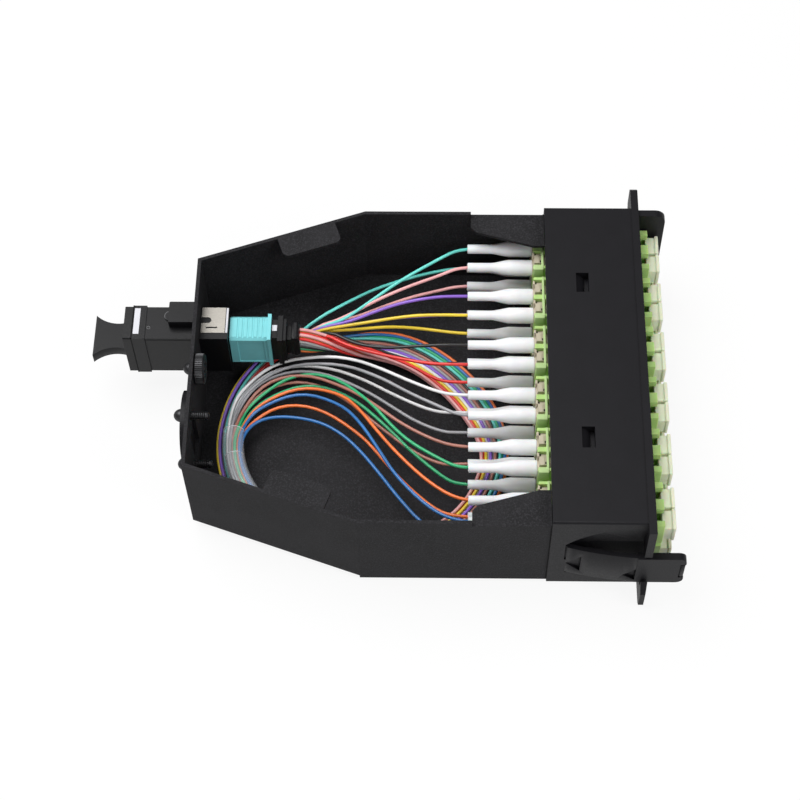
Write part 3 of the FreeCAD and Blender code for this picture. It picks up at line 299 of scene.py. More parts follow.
class Shading:
    """The nodes of one material or world. Each is added by node()."""

    def __init__(self, owner):
        owner.use_nodes = True
        self.tree = owner.node_tree
        self.tree.nodes.clear()

    def node(self, kind, sockets=None, out=0, **settings):
        """Adds a node: its settings first, then its sockets' values or links. Gives one of its outputs."""
        node = self.tree.nodes.new(kind)
        for name, value in settings.items():
            setattr(node, name, value)
        for name, value in (sockets or {}).items():
            if isinstance(value, Tap):
                self.tree.links.new(value.socket, node.inputs[name])
            else:
                node.inputs[name].default_value = value
        return Tap(self, node.outputs[out]) if node.outputs else None

    def ray(self, kind):
        """1 for rays of this kind, else 0."""
        return self.node("ShaderNodeLightPath", out="Is %s Ray" % kind)


class Finish(Shading):
    """One material on a Principled shader. Its constants are the shader's own sockets."""

    def __init__(self, name, constants):
        self.material = bpy.data.materials.new(name)
        super().__init__(self.material)
        self.constants = constants
        self.place = self.node("ShaderNodeTexCoord", out="Object")

    def noise(self, scale, detail=2.0, roughness=0.5, stretch=None):
        """Noise in the piece's own place; scale is in cells per metre."""
        place = self.place
        if stretch:
            place = self.node("ShaderNodeMapping", {"Vector": place, "Scale": stretch})
        sockets = {"Vector": place, "Scale": scale, "Detail": detail, "Roughness": roughness}
        return self.node("ShaderNodeTexNoise", sockets)

    def curve(self, value, low, high, to_low=0.0, to_high=1.0):
        """Value mapped from one range to another and held at its ends."""
        return self.node(
            "ShaderNodeMapRange",
            {"Value": value, "From Min": low, "From Max": high, "To Min": to_low, "To Max": to_high},
        )

    def mix(self, factor, first, second):
        """Colour between two colours."""
        return self.node("ShaderNodeMix", {0: factor, 6: first, 7: second}, out=2, data_type="RGBA")

    def bump(self, height, distance, strength):
        return self.node("ShaderNodeBump", {"Height": height, "Distance": distance, "Strength": strength})

    def wear(self, **sockets):
        """Adds the shader, with its constants and with what varies over the surface. Gives the material."""
        varied = {name.replace("_", " ").title(): value for name, value in sockets.items()}
        shader = self.node("ShaderNodeBsdfPrincipled", {**self.constants, **varied})
        self.node("ShaderNodeOutputMaterial", {"Surface": shader})
        return self.material


def shade(colour, factor):
    """Colour times a factor, held at white, with alpha."""
    return (*[min(1.0, c * factor) for c in colour], 1.0)


def powder_coat(name, colour):
    """Matt coat with a fine crinkle and paler grains."""
    finish = Finish(name, {"Specular IOR Level": 0.2})
    grain = finish.noise(2300.0, 3.0, 0.7)
    patch = finish.noise(90.0, 2.0)
    grains = finish.curve(grain, 0.45, 0.72)
    base = finish.mix(grains, shade(colour, 0.45), shade(colour, 2.3))
    base = finish.mix(finish.curve(patch, 0.3, 0.7, 0.0, 0.35), base, shade(colour, 1.5))
    roughness = finish.curve(grain, 0.3, 0.7, 0.62, 0.86)
    return finish.wear(base_color=base, roughness=roughness, normal=finish.bump(grain, 0.10 * MM, 0.9))


def glow(weight, depth):
    """Constants for light scattered inside a pale plastic, to a depth in metres."""
    return {"Subsurface Weight": weight, "Subsurface Scale": depth}


def moulding(name, colour, roughness, grain=0.012, constants=None):
    """Moulded plastic: a little colour drift, and a fine texture in roughness and bump."""
    finish = Finish(name, {"Specular IOR Level": 0.18, **(constants or {})})
    fine = finish.noise(2600.0, 2.0)
    drift = finish.noise(160.0, 3.0)
    base = finish.mix(finish.curve(drift, 0.3, 0.7), shade(colour, 0.92), shade(colour, 1.06))
    rough = finish.curve(fine, 0.3, 0.7, roughness - 0.05, roughness + 0.07)
    return finish.wear(base_color=base, roughness=rough, normal=finish.bump(fine, grain * MM, 0.6))


def plated(name, colour, roughness):
    """Plated sheet or wire: drawn streaks in a metal."""
    finish = Finish(name, {"Metallic": 1.0})
    streak = finish.noise(900.0, 3.0, stretch=(1.0, 12.0, 1.0))
    base = finish.mix(finish.curve(streak, 0.35, 0.65), shade(colour, 0.82), shade(colour, 1.08))
    rough = finish.curve(streak, 0.3, 0.7, roughness - 0.06, roughness + 0.12)
    return finish.wear(base_color=base, roughness=rough, normal=finish.bump(streak, 0.004 * MM, 0.5))


def buffer_coat(name, colour):
    """Glossy fibre jacket with a slight drift of its colour along the length."""
    finish = Finish(name, {"Coat Weight": 0.25, "Coat Roughness": 0.25, "Specular IOR Level": 0.5})
    drift = finish.noise(130.0, 2.0)
    fine = finish.noise(2400.0, 1.0)
    base = finish.mix(finish.curve(drift, 0.3, 0.7), shade(colour, 0.84), shade(colour, 1.1))
    rough = finish.curve(fine, 0.3, 0.7, 0.30, 0.42)
    return finish.wear(base_color=base, roughness=rough, normal=finish.bump(fine, 0.004 * MM, 0.4))


def clear_film(name, face, edge_on):
    """Thin clear tube: its alpha is low seen square on, and higher seen edge on."""
    finish = Finish(name, {"Base Color": (0.86, 0.90, 0.94, 1.0), "Specular IOR Level": 0.5})
    drift = finish.noise(220.0, 2.0)
    edge = finish.node("ShaderNodeLayerWeight", {"Blend": 0.35}, out=1)
    rough = finish.curve(drift, 0.3, 0.7, 0.16, 0.28)
    alpha = finish.curve(drift, 0.3, 0.7, face, face * 1.4) + edge * edge_on
    return finish.wear(roughness=rough, alpha=alpha)


def black_plastic():
    """Finish of the black multifibre parts, made once."""
    return bpy.data.materials.get("black moulding") or moulding("black moulding", colours().black, 0.38)


def white_ink():
    """Finish of the index marks, made once."""
    return bpy.data.materials.get("white ink") or moulding("white ink", colours().ink, 0.5)


# ---- modelling helpers ----


def alone(piece):
    """Selects one object and nothing else."""
    bpy.ops.object.select_all(action="DESELECT")
    piece.select_set(True)
    bpy.context.view_layer.objects.active = piece


def primitive(add, name, **settings):
    """Adds a primitive by its operator, with nothing else selected, and puts its place into its mesh."""
    bpy.ops.object.select_all(action="DESELECT")
    add(**settings)
    piece = bpy.context.object
    piece.name = name
    piece.data.name = name
    bpy.ops.object.transform_apply(location=True, rotation=True, scale=True)
    return piece


def ring(name, radius, thickness, sides, place=(0.0, 0.0, 0.0)):
    """Round wire ring, level, about its centre."""
    return primitive(
        bpy.ops.mesh.primitive_torus_add, name, location=place, major_segments=sides, minor_segments=8,
        major_radius=radius, minor_radius=thickness,
    )


@contextlib.contextmanager
def editing(piece):
    """Edit mode on one piece, at first with all of it selected."""
    alone(piece)
    bpy.ops.object.mode_set(mode="EDIT")
    bpy.ops.mesh.select_all(action="SELECT")
    yield
    bpy.ops.object.mode_set(mode="OBJECT")


def pick_faces(piece, test):
    """In edit mode, selects the faces whose middle and normal pass a test."""
    bpy.ops.mesh.select_mode(type="FACE")
    bpy.ops.mesh.select_all(action="DESELECT")
    mesh = bmesh.from_edit_mesh(piece.data)
    for face in mesh.faces:
        if test(face.calc_center_median(), face.normal):
            face.select = True
    mesh.select_flush_mode()
    bmesh.update_edit_mesh(piece.data)


def face_out():
    """In edit mode, turns all faces outwards."""
    bpy.ops.mesh.select_all(action="SELECT")
    bpy.ops.mesh.normals_make_consistent(inside=False)


def round_bar(name, low, high, radius, segments=3):
    """Box between two corners with all its edges rounded."""
    low = Vector(low)
    high = Vector(high)
    add = bpy.ops.mesh.primitive_cube_add
    piece = primitive(add, name, size=1.0, location=(low + high) / 2, scale=high - low)
    with editing(piece):
        bpy.ops.mesh.bevel(offset=radius, segments=segments, affect="EDGES")
    return piece


def turned(name, stations, place, sides=28, closed=True):
    """Round piece along X: a circle drawn out through stations of (x, radius)."""
    x, radius = stations[0]
    piece = primitive(
        bpy.ops.mesh.primitive_circle_add, name, vertices=sides, radius=radius, location=(x, *place),
        rotation=(0.0, math.pi / 2, 0.0),
    )
    with editing(piece):
        bpy.ops.mesh.select_mode(type="EDGE")
        bpy.ops.mesh.select_all(action="SELECT")
        if closed:
            bpy.ops.mesh.edge_face_add()
        for next_x, next_radius in stations[1:]:
            bpy.ops.mesh.extrude_region_move(TRANSFORM_OT_translate={"value": (next_x - x, 0.0, 0.0)})
            factor = next_radius / radius
            bpy.ops.transform.resize(value=(1.0, factor, factor), center_override=(next_x, *place))
            x, radius = next_x, next_radius
        face_out()
    return piece


def repeated(name, piece, shifts):
    """The piece copied to each shift, each copy with its own mesh, and all of them joined."""
    copies = []
    for shift in shifts:
        copy = bpy.data.objects.new(name, piece.data.copy())
        copy.data.transform(Matrix.Translation(shift))
        bpy.context.collection.objects.link(copy)
        copies.append(copy)
    bpy.data.objects.remove(piece)
    return joined(name, copies)


def joined(name, parts):
    """Several objects made one."""
    alone(parts[0])
    for part in parts:
        part.select_set(True)
    bpy.ops.object.join()
    whole = bpy.context.object
    whole.name = name
    whole.data.name = name
    return whole


def thicken(piece, thickness):
    """Gives a surface a wall inside it."""
    wall = piece.modifiers.new("Wall", "SOLIDIFY")
    wall.thickness = thickness
    wall.offset = -1.0
    alone(piece)
    bpy.ops.object.modifier_apply(modifier=wall.name)


def smooth(piece, angle=35.0):
    """Smooth shading, broken at edges sharper than an angle in degrees."""
    alone(piece)
    bpy.ops.object.shade_smooth_by_angle(angle=math.radians(angle))
    return piece


def placed(piece, material, body=BODY, stands_for=()):
    """Gives a new piece its finish and its body, and hides the solids' nodes that it stands for."""
    piece.data.materials.clear()
    piece.data.materials.append(material)
    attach(piece, body)
    if stands_for:
        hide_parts(*stands_for)


def dressed(node, material, bevel=0.0, segments=2):
    """Gives a solid's node its finish and a softened edge, its bevel in millimetres."""
    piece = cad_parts[node]
    piece.data.materials.clear()
    piece.data.materials.append(material)
    if bevel:
        weld = piece.modifiers.new("Weld", "WELD")
        weld.merge_threshold = WELD_GAP
        soften = piece.modifiers.new("Soften", "BEVEL")
        soften.width = bevel * MM
        soften.segments = segments
        soften.limit_method = "ANGLE"
        soften.angle_limit = EDGE_ANGLE
        soften.harden_normals = True
        soften.miter_outer = "MITER_ARC"
        soften.use_clamp_overlap = True


def colours():
    return bpy.context.scene.cassette_colours


# ---- fibres ----


def curve_through(name, points, radius=0.0, resolution=6, kind="NURBS", facets=3, capped=True):
    """Curve with these control points, bare or as a round strand: smooth, or with kind POLY straight."""
    data = bpy.data.curves.new(name, "CURVE")
    data.dimensions = "3D"
    data.resolution_u = resolution
    data.bevel_depth = radius
    data.bevel_resolution = facets
    data.use_fill_caps = capped
    spline = data.splines.new(kind)
    spline.points.add(len(points) - 1)
    for place, point in zip(spline.points, points):
        place.co = (*point, 1.0)
    if kind == "NURBS":
        spline.order_u = 3
        spline.use_endpoint_u = True
    return bpy.data.objects.new(name, data)


def mesh_of(curve):
    """Mesh of a curve; the curve is removed."""
    bpy.context.collection.objects.link(curve)
    bpy.context.view_layer.update()
    mesh = bpy.data.meshes.new_from_object(curve.evaluated_get(bpy.context.evaluated_depsgraph_get()))
    data = curve.data
    bpy.data.objects.remove(curve)
    bpy.data.curves.remove(data)
    return mesh


def centreline(points):
    """Places and directions read along a route's smooth curve, with the share of its length."""
    mesh = mesh_of(curve_through("route", [Vector(p) * MM for p in points]))
    places = [vertex.co.copy() for vertex in mesh.vertices]
    bpy.data.meshes.remove(mesh)
    travelled = [0.0]
    for a, b in zip(places, places[1:]):
        travelled.append(travelled[-1] + (b - a).length)
    line = []
    for i, place in enumerate(places):
        ahead = places[min(i + 1, len(places) - 1)] - places[max(i - 1, 0)]
        line.append((place, ahead.normalized(), travelled[i] / travelled[-1]))
    return line


def blend(low, high, value):
    """Smooth step of a value between two limits."""
    t = max(0.0, min(1.0, (value - low) / (high - low)))
    return t * t * (3.0 - 2.0 * t)


def laid(place, ahead, outward, upward, roll):
    """Place moved outward and upward in the section across a route, after a roll."""
    left = Vector((0.0, 0.0, 1.0)).cross(ahead).normalized()
    up = ahead.cross(left)
    across = outward * math.cos(roll) - upward * math.sin(roll)
    rise = outward * math.sin(roll) + upward * math.cos(roll)
    return place + left * across + up * rise


def layer_of(order, row):
    """Height in a bundle of four layers: two for each row, in which neighbouring colours alternate."""
    return order % 2 + 2 * row - 1.5


def in_trunk(colour, row, line, sizes):
    """A fibre's points along the trunk: stacked at first, then flat on the floor, then gathered again."""
    order = TRUNK_ORDER.index(colour)
    middle = (len(TRUNK_ORDER) - 1) / 2
    points = []
    for place, ahead, share in line:
        flat = blend(*SPREAD_FLAT, share) * (1.0 - blend(*GATHER, share))
        pitch = sizes.tight_pitch + (sizes.loose_pitch - sizes.tight_pitch) * flat
        tight_layer = layer_of(order, row) * sizes.layer
        flat_layer = (row - 0.5) * sizes.layer
        layer = tight_layer + (flat_layer - tight_layer) * flat
        roll = START_ROLL * (1.0 - blend(*FIRST_TURN, share)) + END_ROLL * blend(*LAST_TURN, share)
        points.append(laid(place, ahead, (middle - order) * pitch, layer, roll))
    return points


def in_branch(order, row, line, sizes, roll_from):
    """A fibre's points along its branch, from the middle of six colours, as the branch rolls level."""
    middle = (len(NEAR_ORDER) - 1) / 2
    points = []
    for place, ahead, share in line:
        roll = roll_from - roll_from * share
        pitch = sizes.tight_pitch * (1.0 + (BRANCH_SPREAD - 1.0) * share)
        layer = layer_of(order, row) * sizes.layer * BRANCH_LAYER
        points.append(laid(place, ahead, (middle - order) * pitch, layer, roll))
    return points


def fibre(colour, row, trunk, branch, sizes):
    """One whole fibre, from the connector's boot to its own."""
    inside_connector = 1.5 * MM
    before_boot = 2.5 * MM
    inside_boot = 2.0 * MM
    near = colour in NEAR_ORDER
    port = COLOURS.index(colour)
    order = (NEAR_ORDER if near else FAR_ORDER).index(colour)
    points = in_trunk(colour, row, trunk[:-2], sizes)
    points.insert(0, points[0] - Vector((inside_connector, 0.0, 0.0)))
    if near:
        points += in_branch(order, row, branch[1:], sizes, END_ROLL - math.pi)
    else:
        points += in_branch(order, row, branch[1:-1], sizes, 0.0)
    points += [Vector(p) * MM for p in TAILS[colour][row]]
    y = PORT_Y[port]
    z = ROW_Z[row] + BOOT_LIFT[row] + BOOT_LEAN[row]
    points += [Vector((x, y, z)) for x in (BOOT_REAR - before_boot, BOOT_REAR + inside_boot)]
    name = "fibre_%s_%s" % (colour, ROWS[row])
    mesh = mesh_of(curve_through(name, points, sizes.diameter / 2, 4))
    mesh.name = name
    piece = bpy.data.objects.new(name, mesh)
    bpy.context.collection.objects.link(piece)
    for face in mesh.polygons:
        face.use_smooth = True
    return piece


class CASSETTE_OT_fibres(bpy.types.Operator):
    """Lay all twenty-four fibres, from the connector round the tray to the boots"""

    bl_idname = "cassette.fibres"
    bl_label = "Fibres"

    def execute(self, context):
        sizes = context.scene.cassette_fibre_sizes
        every = 4
        trunk = centreline(TRUNK)[::every]
        branches = (centreline(FAR_BRANCH)[::every], centreline(NEAR_BRANCH)[::every])
        for colour in COLOURS:
            tint = getattr(colours(), "soot" if colour == "black" else colour)
            material = buffer_coat("%s jacket" % colour, tint)
            near = colour in NEAR_ORDER
            for row in (0, 1):
                piece = fibre(colour, row, trunk, branches[near], sizes)
                stands_for = ["%s_fibres" % colour, "fibre_trunk", "near_branch" if near else "far_branch"]
                placed(piece, material, stands_for=stands_for)
        return {"FINISHED"}


class CASSETTE_OT_clear_tubes(bpy.types.Operator):
    """Draw the two clear tubes over the near branch"""

    bl_idname = "cassette.clear_tubes"
    bl_label = "Clear tubes"

    def execute(self, context):
        film = clear_film("clear tube", 0.045, 0.26)
        rim = clear_film("cut tube edge", 0.45, 0.4)
        line = [place for place, ahead, share in centreline(NEAR_BRANCH)]
        for name, (radius, mouth) in CLEAR_TUBES.items():
            places = [place for place in line if CLEAR_TUBE_START <= place.y <= mouth]
            tube = self.tube("%s_sheath" % name, places, radius)
            placed(smooth(tube), film, stands_for=["%s_clear_tube" % name])
            lip = self.lip("%s_sheath_lip" % name, places, radius)
            placed(smooth(lip, 60.0), rim)
        return {"FINISHED"}

    def tube(self, name, places, radius):
        """Thin open tube along the branch."""
        mesh = mesh_of(curve_through(name, places, radius, kind="POLY", facets=6, capped=False))
        piece = bpy.data.objects.new(name, mesh)
        bpy.context.collection.objects.link(piece)
        with editing(piece):
            face_out()
        thicken(piece, CLEAR_TUBE_WALL)
        return piece

    def lip(self, name, places, radius):
        """Cut edge of a tube, square across its mouth."""
        lip = ring(name, radius - 0.1 * MM, 0.12 * MM, 48)
        ahead = (places[-1] - places[-2]).normalized()
        turn = ahead.to_track_quat("Z", "Y").to_matrix().to_4x4()
        lip.data.transform(Matrix.Translation(places[-1]) @ turn)
        return lip


class CASSETTE_OT_tray(bpy.types.Operator):
    """Finish the folded tray"""

    bl_idname = "cassette.tray"
    bl_label = "Tray"

    def execute(self, context):
        dressed("tray", powder_coat("tray powder coat", colours().paint), 0.22)
        return {"FINISHED"}


class CASSETTE_OT_housing(bpy.types.Operator):
    """Finish the front housing and its latch lever"""

    bl_idname = "cassette.housing"
    bl_label = "Front housing and lever"

    def execute(self, context):
        plastic = moulding("housing plastic", colours().housing, 0.50, 0.02)
        dressed("front_housing", plastic, 0.22)
        dressed("latch_lever", plastic, 0.25)
        self.window_ribs(plastic)
        self.joint(moulding("joint shadow", (0.001, 0.001, 0.0012), 0.7))
        return {"FINISHED"}

    def window_ribs(self, plastic):
        """Rib below each window of the roof."""
        window = 24.0 * MM
        half = 4.0 * MM
        back = HOUSING_REAR + 6.8 * MM
        front = HOUSING_REAR + 16.5 * MM
        low = 13.0 * MM
        high = 14.2 * MM
        ribs = []
        for y in (-window, window):
            ribs.append(round_bar("rib", (back, y - half, low), (front, y + half, high), 0.2 * MM))
        placed(smooth(joined("window_ribs", ribs)), plastic)

    def joint(self, dark):
        """Near-black bars down each side, where the tray goes into the housing: painted shadow in the
        joint's gap.
        """
        low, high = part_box("tray")
        half = 0.12 * MM
        gaps = [
            round_bar(
                "gap", (HOUSING_REAR - 0.3 * MM, y - half, low.z + 0.3 * MM),
                (HOUSING_REAR + 0.05 * MM, y + half, high.z - 1.2 * MM), 0.03 * MM,
            )
            for y in (low.y, high.y)
        ]
        placed(joined("housing_joint", gaps), dark)


class CASSETTE_OT_adapters(bpy.types.Operator):
    """Finish the duplex adapters, their plugs and their dust caps"""

    bl_idname = "cassette.adapters"
    bl_label = "Duplex adapters"

    def execute(self, context):
        lime = moulding("lime moulding", colours().lime, 0.36, 0.008, glow(0.1, 2.0 * MM))
        cap = moulding("cap moulding", colours().cap, 0.34, 0.006, {"Alpha": 0.92, **glow(0.2, 2.0 * MM)})
        # paler lime for the rear rims and ears: painted highlight
        pale = moulding("pale lime moulding", colours().rim, 0.40, 0.008)
        plug = moulding("plug moulding", colours().plug, 0.40)
        # near-black bars: painted shade in each latch's slot and small hole
        dark = moulding("pin hole", (0.01, 0.01, 0.008), 0.6)
        for row in ROWS:
            for column in range(COLUMNS):
                dressed("adapter_%s_%d" % (row, column + 1), lime, 0.16)
                self.caps(row, column, cap)
            dressed("plugs_%s" % row, plug, 0.15)
            self.rear_rims(row, pale)
            self.latches(row, plug, dark)
        return {"FINISHED"}

    def caps(self, row, column, cap):
        """The two dust caps of an adapter: a neck and a head with a shallow pocket."""
        node = "dust_caps_%s_%d" % (row, column + 1)
        low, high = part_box(node)
        end = high.x
        z = ROW_Z[ROWS.index(row)] - 1.5 * MM
        neck = 2.7 * MM
        head = 2.95 * MM
        rounding = 0.3 * MM
        parts = []
        for y in [y for y in PORT_Y if low.y < y < high.y]:
            parts.append(round_bar(
                "neck", (ADAPTER_FRONT - 0.5 * MM, y - neck, z - 1.9 * MM),
                (end - 0.8 * MM, y + neck, z + 3.7 * MM), rounding,
            ))
            parts.append(round_bar(
                "head", (end - 1.0 * MM, y - head, z - 2.4 * MM), (end, y + head, z + 4.2 * MM), rounding
            ))
            with editing(parts[-1]):
                pick_faces(parts[-1], lambda middle, normal: normal.x > 0.99 and middle.x > end - 0.01 * MM)
                bpy.ops.mesh.inset(thickness=0.7 * MM)
                bpy.ops.mesh.inset(thickness=0.15 * MM, depth=-0.3 * MM)
        placed(smooth(joined(node + "_milky", parts)), cap, stands_for=[node])

    def rear_rims(self, row, pale):
        """Lip along the rear of each adapter, and the rounded ear at its near end, both in a paler lime
        that is a painted highlight.
        """
        ear_depth = 3.4 * MM
        parts = []
        for low, high in ADAPTERS[ROWS.index(row)]:
            parts.append(round_bar(
                "lip", (HOUSING_REAR - 0.75 * MM, low.y + 0.05 * MM, high.z - 0.3 * MM),
                (HOUSING_REAR - 0.08 * MM, high.y - 0.05 * MM, high.z + 0.35 * MM), 0.12 * MM,
            ))
            ear = round_bar(
                "ear", (low.x + 0.1 * MM, low.y - 0.75 * MM, high.z - ear_depth),
                (HOUSING_REAR - 0.1 * MM, low.y + 1.0 * MM, high.z + 0.3 * MM), 0.25 * MM,
            )
            parts.append(self.scooped(ear, Vector((low.x, low.y, high.z - ear_depth))))
        placed(smooth(joined("adapter_rims_%s" % row, parts)), pale)

    def scooped(self, ear, corner):
        """Rounds off the lower rear edge of an ear with three cuts, each at a turn and a depth."""
        with editing(ear):
            for turn, depth in ((0.35, 0.5625 * MM), (0.80, 0.837 * MM), (1.25, 0.5625 * MM)):
                normal = Vector((-math.sin(turn), 0.0, -math.cos(turn)))
                bpy.ops.mesh.select_all(action="SELECT")
                bpy.ops.mesh.bisect(
                    plane_co=corner - normal * depth, plane_no=normal, use_fill=True, clear_outer=True
                )
            face_out()
        return ear

    def latches(self, row, plug, dark):
        """Latch frame beside each plug's latch, and near-black bars of painted shade in its slot and its
        small hole.
        """
        origin = Vector((ADAPTER_REAR, PORT_Y[0], ROW_Z[ROWS.index(row)]))

        def bar(low, high, radius):
            """Bar between two corners in millimetres from the first port."""
            return round_bar("bar", origin + Vector(low) * MM, origin + Vector(high) * MM, radius * MM)

        bars = [
            bar((-0.15, 1.25, 1.0), (0.45, 2.35, 4.2), 0.1),
            bar((0.9, 1.35, 1.0), (2.85, 2.3, 3.5), 0.1),
        ]
        frames = repeated("latch_frames_%s" % row, joined("bar", bars), PORT_SHIFTS)
        placed(smooth(frames), plug)
        hole_shades = [
            bar((1.9, -1.0, 4.1), (2.5, -0.4, 4.3), 0.08),
            bar((0.42, 1.3, 1.0), (0.95, 2.35, 3.3), 0.08),
        ]
        hole_shades = repeated("latch_holes_%s" % row, joined("bar", hole_shades), PORT_SHIFTS)
        placed(smooth(hole_shades), dark)


class CASSETTE_OT_boots(bpy.types.Operator):
    """Turn the plugs' strain relief boots"""

    bl_idname = "cassette.boots"
    bl_label = "Boots"

    def execute(self, context):
        rubber = moulding("boot rubber", colours().boot, 0.46, 0.01, glow(0.15, 3.0 * MM))
        low, high = BOOT_BOXES[0]
        thick = (high.z - low.z) / 2
        slim = 1.3 * MM
        bore = 0.55 * MM
        round_off = 0.2 * MM
        rear = BOOT_REAR
        front = BOOT_FRONT
        stations = [
            (rear + 2.0 * MM, bore), (rear + 0.1 * MM, bore), (rear, bore + 0.12 * MM),
            (rear, slim - 0.15 * MM), (rear + 0.15 * MM, slim), (rear + 6.4 * MM, slim),
            (rear + 7.4 * MM, slim + 0.08 * MM), (rear + 10.2 * MM, thick - round_off),
            (rear + 11.4 * MM, thick), (front - round_off, thick), (front, thick - round_off),
            (front, bore),
        ]
        for row, name in enumerate(ROWS):
            place = (PORT_Y[0], ROW_Z[row])
            boot = turned("boot", stations, place)
            hinge = Vector((front, *place))
            lean = Matrix.Rotation(math.atan(BOOT_LEAN[row] / (front - rear)), 4, "Y")
            lift = Matrix.Translation((0.0, 0.0, BOOT_LIFT[row]))
            boot.data.transform(lift @ Matrix.Translation(hinge) @ lean @ Matrix.Translation(-hinge))
            boots = smooth(repeated("boots_%s_turned" % name, boot, PORT_SHIFTS), 40.0)
            placed(boots, rubber, stands_for=["boots_%s" % name])
        return {"FINISHED"}


class CASSETTE_OT_rear_adapter(bpy.types.Operator):
    """Finish the multifibre adapter, its clip, its cap and its white index marks"""

    bl_idname = "cassette.rear_adapter"
    bl_label = "Multifibre adapter"

    def execute(self, context):
        black = black_plastic()
        dressed("mpo_adapter", black, 0.2)
        dressed("mpo_dust_cap", black, 0.3, 3)
        dressed("adapter_clip", plated("nickel plate", colours().nickel, 0.38), 0.05)
        low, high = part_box("mpo_adapter")
        self.index_marks(low, high)
        self.seams(low, high)
        self.rings(low)
        return {"FINISHED"}

    def index_marks(self, low, high):
        """White squares behind and before the clip, level with its top."""
        clip_low, clip_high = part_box("adapter_clip")
        top = clip_high.z
        rounding = 0.05 * MM
        marks = [
            round_bar(
                "rear mark", (low.x + 0.3 * MM, low.y + 1.6 * MM, top + 0.2 * MM),
                (low.x + 1.9 * MM, high.y - 0.9 * MM, top + 0.36 * MM), rounding,
            ),
            round_bar(
                "front mark", (clip_high.x + 0.15 * MM, clip_low.y, top - 0.1 * MM),
                (high.x - 0.1 * MM, clip_high.y - 0.2 * MM, top + 0.06 * MM), rounding,
            ),
        ]
        placed(joined("index_marks", marks), white_ink())

    def seams(self, low, high):
        """Near-black bars of painted shadow in the parting lines: round the cap's seat, and along the near
        side below the top.
        """
        seat = low.x
        out = 0.05 * MM
        depth = 0.3 * MM
        top = low.z + 17.1 * MM
        lines = []
        for y0, y1, z0, z1 in (
            (low.y, high.y, top - depth, top), (low.y, high.y, low.z, low.z + depth),
            (low.y, low.y + depth, low.z, top), (high.y - depth, high.y, low.z, top),
        ):
            lines.append(round_bar(
                "seam", (seat - 0.2 * MM, y0 - out, z0 - out),
                (seat + 0.12 * MM, y1 + out, z1 + out), 0.04 * MM,
            ))
        lines.append(round_bar(
            "seam", (seat + 3.6 * MM, low.y + 0.24 * MM, top - 1.2 * MM),
            (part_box("tray")[0].x, low.y + 0.34 * MM, top - 0.95 * MM), 0.03 * MM,
        ))
        dark = moulding("seam shadow", (0.0012, 0.0012, 0.0014), 0.7)
        placed(joined("adapter_seams", lines), dark)

    def rings(self, low):
        """Pale round index mark on the top, and the wire loop behind the raised block."""
        index_mark = (Vector((4.4, 3.8, 16.8)), 0.42, 0.12)
        wire_loop = (Vector((10.0, 7.4, 17.3)), 1.25, 0.24)
        rings = []
        for shift, radius, thickness in (index_mark, wire_loop):
            rings.append(ring("ring", radius * MM, thickness * MM, 32, low + shift * MM))
        grey = moulding("grey ring", (0.12, 0.12, 0.125), 0.4)
        placed(smooth(joined("adapter_rings", rings), 60.0), grey)


class CASSETTE_OT_connector(bpy.types.Operator):
    """Finish the multifibre connector inside the tray"""

    bl_idname = "cassette.connector"
    bl_label = "Multifibre connector"

    def execute(self, context):
        black = black_plastic()
        dressed("connector_body", black, 0.15)
        dressed("connector_boot", black, 0.15)
        dressed("connector_sleeve", moulding("aqua moulding", colours().sleeve, 0.36, 0.01), 0.12)
        self.collar(black)
        self.polarity_mark()
        return {"FINISHED"}

    def collar(self, black):
        """Thick front end of the connector's boot."""
        low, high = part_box("connector_boot")
        collar = round_bar(
            "boot_collar_raised", (high.x - 2.3 * MM, low.y - 0.1 * MM, low.z - 0.1 * MM),
            (high.x - 0.1 * MM, high.y + 0.5 * MM, high.z + 0.9 * MM), 0.7 * MM, 2,
        )
        placed(smooth(collar, 20.0), black)

    def polarity_mark(self):
        """White square on the body in front of the sleeve."""
        low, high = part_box("connector_body")
        middle = (low.y + high.y) / 2
        top = high.z - 0.4 * MM
        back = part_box("connector_sleeve")[1].x
        mark = round_bar(
            "polarity_mark", (back + 0.2 * MM, middle - 0.7 * MM, top - 0.1 * MM),
            (back + 1.6 * MM, middle + 1.2 * MM, top + 0.06 * MM), 0.04 * MM,
        )
        placed(mark, white_ink())


